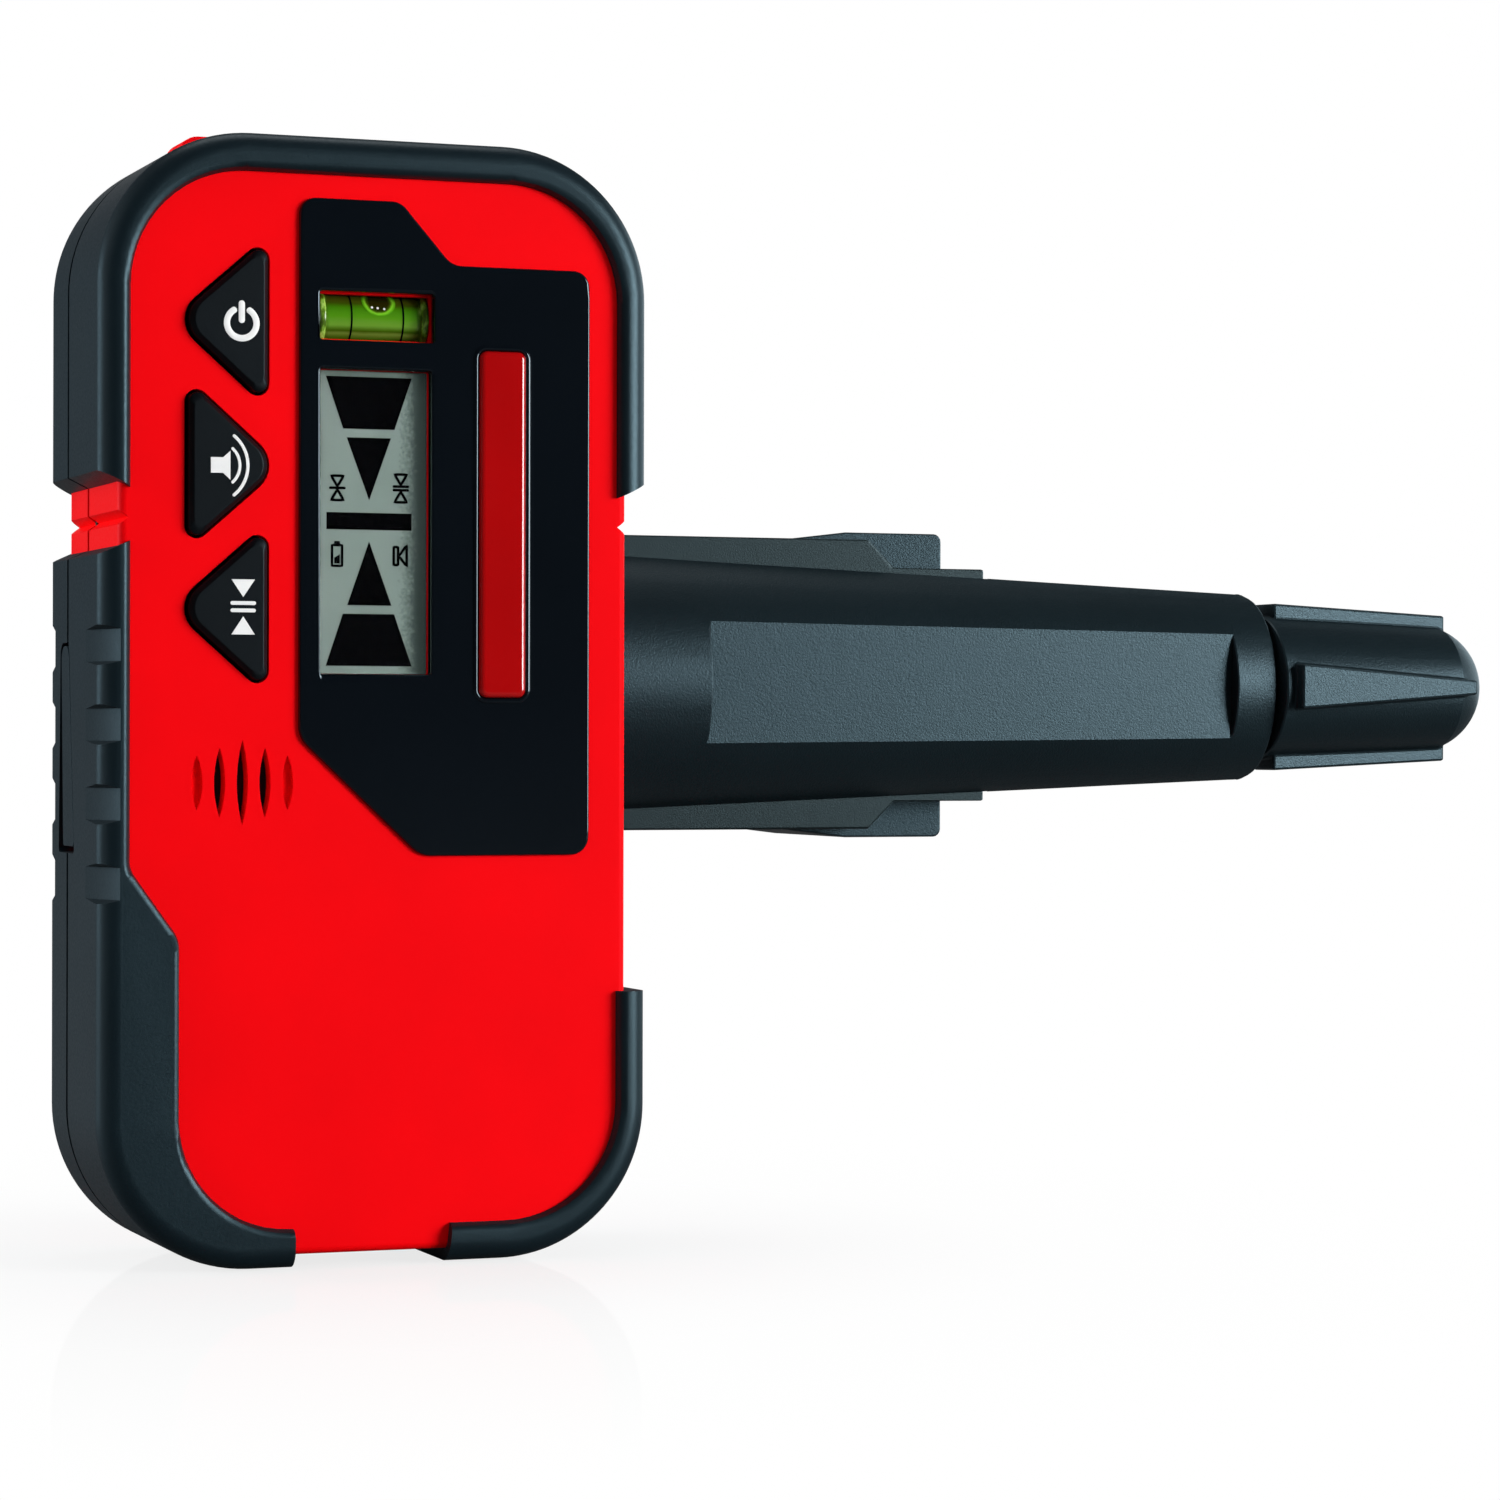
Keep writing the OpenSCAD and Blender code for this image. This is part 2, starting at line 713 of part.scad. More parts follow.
module battery_cells() {
    color([0.1, 0.1, 0.12]) for (s = [-1, 1])
        bar_x(cell_y, bay_z + s * cell_pitch / 2, cell_r, -cell_l / 2, cell_l / 2);
}

module battery_contacts() {
    color(steel) for (s = [-1, 1]) {
        box(s > 0 ? bay_hw - 0.5 : -bay_hw, s > 0 ? bay_hw : -bay_hw + 0.5, cell_y - 4, cell_y + 4,
            bay_z - cell_pitch / 2 - 4, bay_z + cell_pitch / 2 + 4);
        for (t = [-1, 1])
            translate([s * (bay_hw - 0.5), cell_y, bay_z + t * cell_pitch / 2]) rotate([0, -90 * s, 0])
                cylinder(h = bay_hw - 0.5 - cell_l / 2, r1 = 3.2, r2 = 2);
    }
}

module battery_door() {
    color(red) difference() {
        union() {
            box(-door_hw, door_hw, back_y - door_t, back_y, hinge_z, door_z1);
            bar_x(hinge_y, hinge_z, knuckle_r, -door_hw, door_hw);
        }
        bar_x(hinge_y, hinge_z, door_pin_r + run_gap, -door_hw - 1, door_hw + 1);
        translate([0, back_y + 4.2, door_z1 + 0.5]) rotate([0, 90, 0]) cylinder(h = 14, r = 5, center = true);
    }
}

module door_pin() {
    color(steel) bar_x(hinge_y, hinge_z, door_pin_r, -door_hw - 1.8, door_hw + 1.8);
}

module release_lever() {
    color(rubber) difference() {
        union() {
            side_prism(-half_w, -half_w + lever_t) polygon(lever_pts(0, 0, 0));
            bar_x(lever_y, lever_z, lever_r - 0.1, -half_w + 0.5, -pocket_x - slide_gap);
        }
        bar_x(lever_y, lever_z, lever_pin_r + run_gap, -half_w + 0.5, -in_hw);
    }
}

module lever_pin() {
    color(steel) bar_x(lever_y, lever_z, lever_pin_r, -half_w + 0.6, -in_hw);
}

module at_axis() {
    translate([0, clamp_y, clamp_z]) children();
}

module vee(x, way) {
    over = 1 + 1 / vee_d;
    polygon([[x - way, vee_y - vee_w * over], [x + way * vee_d, vee_y], [x - way, vee_y + vee_w * over]]);
}

function vee_pad(x, way) = [
    [x, vee_y - vee_w - 3], [x, vee_y - vee_w], [x + way * vee_d, vee_y], [x, vee_y + vee_w],
    [x, vee_y + vee_w + 3], [x - way * pad_t, vee_y + vee_w + 3], [x - way * pad_t, vee_y + vee_w - 0.4],
    [x + way * (vee_d - pad_t - 0.2), vee_y], [x - way * pad_t, vee_y - vee_w + 0.4],
    [x - way * pad_t, vee_y - vee_w - 3]];

module barrel_screw_places() {
    for (x = barrel_screw_x, s = [-1, 1])
        translate([x, 0, clamp_z + s * barrel_screw_z]) children();
}

module clamp_frame() {
    shoe_x0 = rail_x0 + slide_gap;
    color(dark) difference() {
        union() {
            translate([0, 0, clamp_z]) prism(clamp_y, frame_b) polygon([[fixed_x - 14, -frame_h],
                [frame_x1 - 3.5, -frame_h], [frame_x1, -rail_h], [rail_end, -rail_h], [rail_end, rail_h],
                [frame_x1, rail_h], [frame_x1 - 3.5, frame_h], [fixed_x - 14, frame_h]]);
            translate([0, 0, clamp_z]) {
                box(shoe_x0, rail_x1 - 1, back_y + slide_gap, lip_y0 - slide_gap, -rail_mid + slide_gap,
                    rail_mid - slide_gap);
                box(shoe_x0, rail_x1 + 3, lip_y0 - 1, clamp_y + 1, -rail_in + slide_gap, rail_in - slide_gap);
                box(fixed_x - 14, fixed_x, frame_b - 1, jaw_y1, -frame_h + 1, frame_h - 1);
            }
        }
        translate([0, 0, clamp_z]) {
            box(slot_x0, rail_end + 1, clamp_y - 1, frame_b + 1, -neck_h - slide_gap, neck_h + slide_gap);
            translate([0, 0, -frame_h]) linear_extrude(2 * frame_h) vee(fixed_x, -1);
            box(shoe_x0 + 2, fixed_x - 14, lip_y0 + 1, frame_b + 1, -6.5, 6.5);
            box(fixed_x + 2, barrel_x - 3, lip_y0 + 1, frame_b + 1, -6.5, 6.5);
            box(fixed_x - 11.8, fixed_x - 6.3, lip_y0 + 4, jaw_y1 + 1, -6.5, 6.5);
            for (s = [-1, 1])
                box(fixed_x - 11.8, fixed_x - 6.3, frame_b - 3, jaw_y1 + 1, s > 0 ? 8.5 : -frame_h + 3,
                    s > 0 ? frame_h - 3 : -8.5);
        }
        at_axis() bar_x(0, 0, spindle_r - 1 + run_gap, barrel_x - 2, slot_x0 + 1);
        barrel_screw_places() bar_y(0, 0, 1.2, clamp_y - 1, frame_b + 1);
        barrel_screw_places() bar_y(0, 0, 2.3, frame_b - 2.2, frame_b + 1);
    }
}

// Half of the barrel: a cone cut by the plane where it meets the frame
module half_cone(grow, xa, xb) {
    intersection() {
        translate([barrel_x, bow, 0]) rotate([0, 90, 0])
            cylinder(h = barrel_l, r1 = cone_r0 - grow, r2 = cone_r1 - grow, $fn = 120);
        box(xa, xb, -30, 0, -30, 30);
    }
}

// Plane parallel to the crown of the barrel, a given depth under it
module under_crown(depth, xa, xb) {
    translate([barrel_x, bow - cone_r0 + depth, 0]) rotate([0, 0, taper])
        translate([xa - barrel_x, 0, -20]) cube([xb - xa, 40, 40]);
}

module clamp_barrel() {
    nose = barrel_end - 2.2;
    tail_x = rail_end + slide_gap;
    color(dark) at_axis() difference() {
        intersection() {
            union() {
                half_cone(0, barrel_x, barrel_end);
                mirror([0, 1, 0]) half_cone(0, tail_x, barrel_end);
            }
            union() {
                box(barrel_x - 1, nose, -30, 30, -30, 30);
                translate([nose, 0, 0]) rotate([0, 90, 0]) rotate_extrude()
                    polygon([[0, 0], for (a = [0:15:90]) [barrel_h1 - 1.9 + 2 * cos(a), 2.2 * sin(a)], [0, 2.2]]);
            }
        }
        difference() {
            union() {
                intersection() {
                    half_cone(barrel_wall, barrel_x + barrel_wall, barrel_end - end_wall);
                    under_crown(flat_d + barrel_wall - 0.1, barrel_x, barrel_end + 5);
                }
                mirror([0, 1, 0]) half_cone(barrel_wall, tail_x + barrel_wall, barrel_end - end_wall);
            }
            for (x = barrel_screw_x, s = [-1, 1])
                bar_y(x, s * 10.3, 2.2, -20, 0);
        }
        difference() {
            box(flat_x0, flat_x1, -30, 0, -20, 20);
            under_crown(flat_d, flat_x0 - 5, flat_x1 + 5);
        }
        bar_x(0, 0, spindle_r + run_gap, barrel_end - end_wall - 1, barrel_end + 1);
        bar_x(0, 0, spindle_r + slide_gap, tail_x - 1, tail_x + barrel_wall + 1);
        bar_x(0, 0, spindle_r - 1 + run_gap, barrel_x - 1, barrel_x + 4);
        for (x = barrel_screw_x, s = [-1, 1])
            bar_y(x, s * 10.3, 0.9, -4, 1);
    }
}

module barrel_screws() {
    color(steel) barrel_screw_places() {
        bar_y(0, 0, 0.9, clamp_y - 4, frame_b - 2.2);
        bar_y(0, 0, 1.9, frame_b - 2.2, frame_b - 0.6);
    }
}

module fixed_pad() {
    color(rubber) translate([0, 0, clamp_z - frame_h + pad_inset]) linear_extrude(2 * (frame_h - pad_inset))
        polygon(vee_pad(fixed_x, -1));
}

module sliding_jaw() {
    color(dark) difference() {
        union() {
            translate([0, 0, clamp_z]) prism(jaw_y0, jaw_y1) polygon(rounded([[jaw_x0, -jaw_h + 1.3],
                [jaw_x0 + 10.6, -jaw_h], [jaw_x1, -jaw_h], [jaw_x1, jaw_h], [jaw_x0 + 10.6, jaw_h],
                [jaw_x0, jaw_h - 1.3]], [0.3, 3, 1, 1, 3, 0.3], 4));
            translate([0, 0, clamp_z]) box(neck_x0, neck_x1, clamp_y - nut_r - 0.9, jaw_y0 + 1, -neck_h, neck_h);
        }
        at_axis() bar_x(0, 0, nut_r, neck_x0 + 2, neck_x1 - 2);
        at_axis() bar_x(0, 0, spindle_r + 0.4, neck_x0 - 1, neck_x1 + 1);
        translate([0, 0, clamp_z - jaw_h - 1]) linear_extrude(2 * jaw_h + 2) vee(jaw_x0, 1);
        translate([0, 0, clamp_z])
            for (s = [-1, 1])
                box(jaw_x0 + 8.5, jaw_x1 + 1, jaw_y0 + 3, jaw_y1 - 3, s > 0 ? 1.5 : -jaw_h + 3, s > 0 ? jaw_h - 3 : -1.5);
    }
}

module jaw_nut() {
    color([0.75, 0.6, 0.3]) at_axis() difference() {
        bar_x(0, 0, nut_r, neck_x0 + 2, neck_x1 - 2);
        bar_x(0, 0, spindle_r + run_gap, neck_x0, neck_x1);
    }
}

module jaw_pad() {
    color(rubber) translate([0, 0, clamp_z - frame_h + pad_inset]) linear_extrude(2 * (frame_h - pad_inset))
        polygon(vee_pad(jaw_x0, 1));
}

module spindle() {
    color(steel) at_axis() difference() {
        union() {
            bar_x(0, 0, spindle_r - 1, barrel_x + 0.3, thread_x0 + 1);
            bar_x(0, 0, spindle_r - 0.5, thread_x0, thread_x1 + 1);
            for (i = [0 : thread_n - 1])
                bar_x(0, 0, spindle_r, thread_x0 + i * spindle_pitch, thread_x0 + (i + 0.55) * spindle_pitch);
            bar_x(0, 0, spindle_r, thread_x1, knob_x + 20);
        }
        translate([knob_x + 12, 0, 0]) cylinder(h = 30, r = 0.9, center = true);
    }
}

module thrust_collar() {
    color(steel) at_axis() difference() {
        bar_x(0, 0, collar_r, barrel_end - end_wall - slide_gap - 2, barrel_end - end_wall - slide_gap);
        bar_x(0, 0, spindle_r, barrel_end - 20, barrel_end);
    }
}

module knob_rib() {
    intersection() {
        linear_extrude(30, center = true)
            polygon([[1.5, 0], [1.5, knob_r], [knob_l - 4.6, knob_r - 1.25], [knob_l - 4.6, 0]]);
        rotate([-90, 0, 0]) linear_extrude(2 * knob_r)
            polygon([[1.5, -2.9], [knob_l - 4.6, -0.95], [knob_l - 4.6, 0.95], [1.5, 2.9]]);
    }
}

module clamp_knob() {
    dome_z = knob_l - 5.7;
    dome_r = (knob_core1 * knob_core1 + 5.7 * 5.7) / (2 * 5.7);
    color(dark) at_axis() translate([knob_x, 0, 0]) difference() {
        union() {
            rotate([45, 0, 0]) rotate([0, 90, 0]) cylinder(h = dome_z, r1 = knob_core0, r2 = knob_core1);
            rotate([45, 0, 0]) intersection() {
                translate([knob_l - dome_r, 0, 0]) rotate([0, 90, 0]) sphere(dome_r);
                bar_x(0, 0, 30, dome_z, knob_l + 1);
            }
            for (a = [0:90:270])
                rotate([a, 0, 0]) knob_rib();
        }
        difference() {
            bar_x(0, 0, 6.6, -1, 21);
            bar_x(0, 0, 4.6, -2, 22);
        }
        bar_x(0, 0, spindle_r, -1, 20);
        translate([12, 0, 0]) cylinder(h = 13, r = 0.9, center = true);
    }
}

module knob_pin() {
    color(steel) at_axis() translate([knob_x + 12, 0, 0]) cylinder(h = 13, r = 0.9, center = true);
}

front_shell();
rear_shell();
shell_seal();
front_bumper_top();
front_bumper_left();
front_bumper_right();
rear_bumper_top_left();
rear_bumper_top_right();
rear_bumper_left();
rear_bumper_right();
lens_panel();
display_window();
lcd_module();
sensor_window();
level_vial();
main_board();
diode_strip();
photodiodes();
key_switches();
buzzer();
board_screws();
case_screws();
power_key();
sound_key();
mode_key();
battery_cells();
battery_contacts();
battery_door();
door_pin();
release_lever();
lever_pin();
clamp_frame();
clamp_barrel();
barrel_screws();
fixed_pad();
sliding_jaw();
jaw_nut();
jaw_pad();
spindle();
thrust_collar();
clamp_knob();
knob_pin();
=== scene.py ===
import math

import bmesh
import bpy
import numpy as np
from mathutils import Matrix, Vector


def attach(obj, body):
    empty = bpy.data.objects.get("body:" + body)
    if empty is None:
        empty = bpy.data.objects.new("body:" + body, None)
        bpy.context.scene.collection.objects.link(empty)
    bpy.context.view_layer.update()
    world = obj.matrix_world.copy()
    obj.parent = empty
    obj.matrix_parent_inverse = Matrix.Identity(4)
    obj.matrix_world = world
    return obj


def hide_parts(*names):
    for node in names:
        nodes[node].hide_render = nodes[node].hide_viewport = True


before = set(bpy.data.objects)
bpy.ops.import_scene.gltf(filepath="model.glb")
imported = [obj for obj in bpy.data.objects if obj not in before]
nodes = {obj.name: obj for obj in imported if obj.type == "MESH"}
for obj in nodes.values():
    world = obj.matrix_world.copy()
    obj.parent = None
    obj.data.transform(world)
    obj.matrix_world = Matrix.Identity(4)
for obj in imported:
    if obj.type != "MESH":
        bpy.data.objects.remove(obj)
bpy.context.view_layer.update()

mm = 0.001
print("frame loaded with", len(nodes), "nodes")


# camera: set back along the photograph's line of sight, upright, no depth of field

cameraSet = {
    "azimuth": -21.0,  # degrees, from straight ahead of the display
    "place": (-0.12861, -0.46600, 0.05831),
    "lens": 100.8,
    "sensor": 36.0,
    "shiftY": -0.00663,
    "roll": 0.119,  # degrees
    "clip": 0.01,
}


def placeCamera(settings):
    turn = math.radians(settings["azimuth"])
    right = Vector((math.cos(turn), math.sin(turn), 0))
    back = Vector((math.sin(turn), -math.cos(turn), 0))
    up = Vector((0, 0, 1))
    facing = Matrix((right, up, back)).transposed().to_4x4()
    lens = bpy.data.cameras.new("photoLens")
    lens.lens = settings["lens"]
    lens.sensor_width = settings["sensor"]
    lens.shift_y = settings["shiftY"]
    lens.clip_start = settings["clip"]
    camera = bpy.data.objects.new("photoCamera", lens)
    roll = Matrix.Rotation(math.radians(settings["roll"]), 4, "Z")
    camera.matrix_world = Matrix.Translation(settings["place"]) @ facing @ roll
    bpy.context.scene.collection.objects.link(camera)
    bpy.context.scene.camera = camera


placeCamera(cameraSet)
bpy.context.scene.view_settings.view_transform = "Standard"
print("camera placed")


# node helpers for the finishes

def startFinish(name):
    material = bpy.data.materials.new(name)
    material.use_nodes = True
    tree = material.node_tree
    tree.nodes.clear()
    out = tree.nodes.new("ShaderNodeOutputMaterial")
    surface = tree.nodes.new("ShaderNodeBsdfPrincipled")
    tree.links.new(surface.outputs["BSDF"], out.inputs["Surface"])
    place = tree.nodes.new("ShaderNodeTexCoord")
    return material, tree, surface, place.outputs["Object"]


def noiseOf(tree, place, scale, detail=2.0, rough=0.5, stretch=None):
    if stretch:
        mapping = tree.nodes.new("ShaderNodeMapping")
        mapping.inputs["Scale"].default_value = stretch
        tree.links.new(place, mapping.inputs["Vector"])
        place = mapping.outputs["Vector"]
    noise = tree.nodes.new("ShaderNodeTexNoise")
    noise.inputs["Scale"].default_value = scale
    noise.inputs["Detail"].default_value = detail
    noise.inputs["Roughness"].default_value = rough
    tree.links.new(place, noise.inputs["Vector"])
    return noise.outputs["Fac"]


def rampOf(tree, value, stops):
    ramp = tree.nodes.new("ShaderNodeValToRGB")
    line = ramp.color_ramp
    while len(line.elements) < len(stops):
        line.elements.new(0.5)
    for element, (at, colour) in zip(line.elements, stops):
        element.position = at
        element.color = (*colour, 1.0)
    tree.links.new(value, ramp.inputs["Fac"])
    return ramp.outputs["Color"]


def spanOf(tree, value, low, high, outLow, outHigh):
    span = tree.nodes.new("ShaderNodeMapRange")
    span.inputs["From Min"].default_value = low
    span.inputs["From Max"].default_value = high
    span.inputs["To Min"].default_value = outLow
    span.inputs["To Max"].default_value = outHigh
    tree.links.new(value, span.inputs["Value"])
    return span.outputs["Result"]


def mathOf(tree, operation, first, second):
    node = tree.nodes.new("ShaderNodeMath")
    node.operation = operation
    for socket, value in zip(node.inputs, (first, second)):
        if isinstance(value, (int, float)):
            socket.default_value = value
        else:
            tree.links.new(value, socket)
    return node.outputs["Value"]


# value times factor plus addend
def mulAddOf(tree, value, factor, addend):
    node = tree.nodes.new("ShaderNodeMath")
    node.operation = "MULTIPLY_ADD"
    node.inputs[1].default_value = factor
    tree.links.new(value, node.inputs[0])
    tree.links.new(addend, node.inputs[2])
    return node.outputs["Value"]


def partsOf(tree, vector):
    parts = tree.nodes.new("ShaderNodeSeparateXYZ")
    tree.links.new(vector, parts.inputs["Vector"])
    return parts.outputs


def lengthOf(tree, vector):
    node = tree.nodes.new("ShaderNodeVectorMath")
    node.operation = "LENGTH"
    tree.links.new(vector, node.inputs[0])
    return node.outputs["Value"]


def dotOf(tree, vector, direction):
    node = tree.nodes.new("ShaderNodeVectorMath")
    node.operation = "DOT_PRODUCT"
    node.inputs[1].default_value = direction
    tree.links.new(vector, node.inputs[0])
    return node.outputs["Value"]


noiseSpan = (0.3, 0.7)  # most of a noise's values lie between these
upwardSpan = (0.82, 0.97)  # the normal's upward part over which the roughness rises


# roughness that rises on faces that look up, so that the lamps don't wash them out
def mattTop(tree, roughness, rise):
    place = tree.nodes.new("ShaderNodeTexCoord")
    facing = partsOf(tree, place.outputs["Normal"])
    return mathOf(tree, "ADD", roughness, spanOf(tree, facing["Z"], *upwardSpan, 0.0, rise))


def bumpOf(tree, surface, height, strength, depth):
    bump = tree.nodes.new("ShaderNodeBump")
    bump.inputs["Strength"].default_value = strength
    bump.inputs["Distance"].default_value = depth
    tree.links.new(height, bump.inputs["Height"])
    tree.links.new(bump.outputs["Normal"], surface.inputs["Normal"])


def scaled(colour, factor):
    return tuple(channel * factor for channel in colour)


# a moulded finish: cloudy colour, fine spark-eroded grain in bump and roughness
def mouldedFinish(name, settings):
    material, tree, surface, place = startFinish(name)
    colour = settings["colour"]
    cloud = noiseOf(tree, place, settings["cloud"], detail=3.0)
    tint = rampOf(tree, cloud, [
        (noiseSpan[0], scaled(colour, 1 - settings["drift"])),
        (noiseSpan[1], scaled(colour, 1 + settings["drift"]))])
    tree.links.new(tint, surface.inputs["Base Color"])
    grain = noiseOf(tree, place, settings["grain"], rough=0.6)
    rough = spanOf(tree, grain, *noiseSpan, *settings["roughness"])
    tree.links.new(mattTop(tree, rough, settings.get("matt", 0.0)), surface.inputs["Roughness"])
    bumpOf(tree, surface, grain, settings["bump"], settings["depth"])
    surface.inputs["Specular IOR Level"].default_value = settings["specular"]
    surface.inputs["Specular Tint"].default_value = (*settings.get("sheen", (1, 1, 1)), 1)
    surface.inputs["Coat Weight"].default_value = settings.get("coat", 0.0)
    surface.inputs["Coat Roughness"].default_value = settings.get("coatRoughness", 0.1)
    return material


lineSet = {"shade": 0.8, "stops": (0.25, 0.75), "bump": 0.15, "depth": 0.00003}


# a drawn or turned metal: fine lines along one axis
def metalFinish(name, settings):
    material, tree, surface, place = startFinish(name)
    lines = noiseOf(tree, place, settings["lines"], detail=3.0, rough=0.6, stretch=settings["stretch"])
    colour = settings["colour"]
    tint = rampOf(tree, lines, list(zip(lineSet["stops"], (scaled(colour, lineSet["shade"]), colour))))
    tree.links.new(tint, surface.inputs["Base Color"])
    tree.links.new(spanOf(tree, lines, *noiseSpan, *settings["roughness"]), surface.inputs["Roughness"])
    bumpOf(tree, surface, lines, lineSet["bump"], lineSet["depth"])
    surface.inputs["Metallic"].default_value = 1.0
    return material


redShell = mouldedFinish("redShellPlastic", {
    "colour": (0.85, 0.0012, 0.0030), "drift": 0.04, "cloud": 55.0,
    "grain": 2600.0, "roughness": (0.40, 0.52), "bump": 0.22, "depth": 0.00006,
    "matt": 0.30, "specular": 0.04, "sheen": (1.0, 0.45, 0.75)})
bumperRubber = mouldedFinish("bumperRubber", {
    "colour": (0.0036, 0.0078, 0.0108), "drift": 0.12, "cloud": 70.0,
    "grain": 3200.0, "roughness": (0.35, 0.46), "bump": 0.24, "depth": 0.00005,
    "matt": 0.40, "specular": 0.38, "sheen": (0.52, 0.85, 1.0)})
keyRubber = mouldedFinish("keyRubber", {
    "colour": (0.0016, 0.0022, 0.0032), "drift": 0.15, "cloud": 150.0,
    "grain": 3600.0, "roughness": (0.34, 0.46), "bump": 0.18, "depth": 0.00005,
    "specular": 0.16, "sheen": (0.70, 0.90, 1.0)})
padRubber = mouldedFinish("padRubber", {
    "colour": (0.0120, 0.0120, 0.0125), "drift": 0.2, "cloud": 90.0,
    "grain": 1500.0, "roughness": (0.65, 0.85), "bump": 0.4, "depth": 0.00012,
    "specular": 0.30})
panelBlack = mouldedFinish("panelGloss", {
    "colour": (0.0018, 0.0030, 0.0048), "drift": 0.1, "cloud": 60.0,
    "grain": 5200.0, "roughness": (0.09, 0.12), "bump": 0.02, "depth": 0.00001,
    "specular": 0.48, "sheen": (0.70, 0.90, 1.0)})
clampPlastic = mouldedFinish("clampPlastic", {
    "colour": (0.0034, 0.0074, 0.0094), "drift": 0.10, "cloud": 60.0,
    "grain": 4200.0, "roughness": (0.36, 0.47), "bump": 0.60, "depth": 0.00006,
    "matt": 0.40, "specular": 0.39, "sheen": (0.52, 0.84, 1.0)})
framePlastic = mouldedFinish("framePlastic", {
    "colour": (0.0028, 0.0058, 0.0066), "drift": 0.10, "cloud": 60.0,
    "grain": 4200.0, "roughness": (0.38, 0.50), "bump": 0.45, "depth": 0.00005,
    "matt": 0.40, "specular": 0.32, "sheen": (0.58, 0.86, 0.95)})
sealRubber = mouldedFinish("sealRubber", {
    "colour": (0.008, 0.008, 0.009), "drift": 0.1, "cloud": 90.0,
    "grain": 2000.0, "roughness": (0.6, 0.75), "bump": 0.1, "depth": 0.00005,
    "specular": 0.3})
buzzerBlack = mouldedFinish("buzzerCase", {
    "colour": (0.020, 0.012, 0.022), "drift": 0.1, "cloud": 90.0,
    "grain": 1500.0, "roughness": (0.5, 0.65), "bump": 0.1, "depth": 0.00005,
    "specular": 0.35})
chipBlack = mouldedFinish("chipBlack", {
    "colour": (0.010, 0.010, 0.014), "drift": 0.1, "cloud": 200.0,
    "grain": 1500.0, "roughness": (0.2, 0.35), "bump": 0.05, "depth": 0.00003,
    "specular": 0.4})
markWhite = mouldedFinish("markWhite", {
    "colour": (0.80, 0.81, 0.80), "drift": 0.04, "cloud": 700.0,
    "grain": 4000.0, "roughness": (0.45, 0.6), "bump": 0.08, "depth": 0.00003,
    "specular": 0.3})
segmentBlack = mouldedFinish("segmentBlack", {
    "colour": (0.0008, 0.0010, 0.0016), "drift": 0.15, "cloud": 400.0,
    "grain": 2500.0, "roughness": (0.3, 0.42), "bump": 0.03, "depth": 0.00002,
    "specular": 0.0})
sensorRed = mouldedFinish("sensorFilter", {
    "colour": (0.36, 0.0008, 0.0012), "drift": 0.08, "cloud": 40.0,
    "grain": 500.0, "roughness": (0.06, 0.10), "bump": 0.01, "depth": 0.00002,
    "specular": 0.35, "coat": 0.6, "coatRoughness": 0.03})
steelDrawn = metalFinish("screwSteel", {
    "colour": (0.56, 0.57, 0.60), "lines": 900.0, "stretch": (1.0, 0.15, 1.0),
    "roughness": (0.24, 0.40)})
alloyTurned = metalFinish("spindleAlloy", {
    "colour": (0.72, 0.73, 0.75), "lines": 1400.0, "stretch": (1.0, 0.1, 0.1),
    "roughness": (0.22, 0.36)})
nutBrass = metalFinish("nutBrass", {
    "colour": (0.78, 0.56, 0.22), "lines": 1200.0, "stretch": (1.0, 0.1, 0.1),
    "roughness": (0.22, 0.36)})
contactPlate = metalFinish("contactPlate", {
    "colour": (0.80, 0.80, 0.78), "lines": 800.0, "stretch": (0.2, 1.0, 1.0),
    "roughness": (0.15, 0.28)})
print("moulded and metal finishes made")


# circuit board: green lacquer over wavy tracks
def boardFinish(name, settings):
    material, tree, surface, place = startFinish(name)
    tracks = tree.nodes.new("ShaderNodeTexWave")
    tracks.wave_type = "BANDS"
    tracks.bands_direction = "Z"
    tracks.inputs["Scale"].default_value = settings["tracks"]
    tracks.inputs["Distortion"].default_value = settings["waver"]
    tracks.inputs["Detail Scale"].default_value = settings["detail"]
    tree.links.new(place, tracks.inputs["Vector"])
    tree.links.new(rampOf(tree, tracks.outputs["Fac"], settings["tints"]), surface.inputs["Base Color"])
    surface.inputs["Roughness"].default_value = settings["roughness"]
    bumpOf(tree, surface, tracks.outputs["Fac"], settings["bump"], settings["depth"])
    return material


# display glass: green grey with a fine speckle and painted shade that darkens it towards its right side,
# deepest along the right edge where the panel's edge shades it
def displayFinish(name, settings):
    material, tree, surface, place = startFinish(name)
    across = spanOf(tree, partsOf(tree, place)["X"], settings["left"], settings["right"], 0.0, 1.0)
    speck = noiseOf(tree, place, settings["speck"], rough=0.7)
    mixed = mulAddOf(tree, speck, settings["speckShare"], across)
    tree.links.new(rampOf(tree, mixed, settings["tints"]), surface.inputs["Base Color"])
    tree.links.new(spanOf(tree, speck, *noiseSpan, *settings["roughness"]), surface.inputs["Roughness"])
    surface.inputs["Specular IOR Level"].default_value = 0.0
    return material


# clear window: thin clear plastic, its index low so that its inner faces hardly mirror
def windowFinish(name, settings):
    material, tree, surface, place = startFinish(name)
    haze = noiseOf(tree, place, settings["haze"])
    tree.links.new(rampOf(tree, haze, settings["tints"]), surface.inputs["Base Color"])
    tree.links.new(spanOf(tree, haze, *noiseSpan, *settings["roughness"]), surface.inputs["Roughness"])
    surface.inputs["Transmission Weight"].default_value = 1.0
    surface.inputs["IOR"].default_value = settings["index"]
    return material
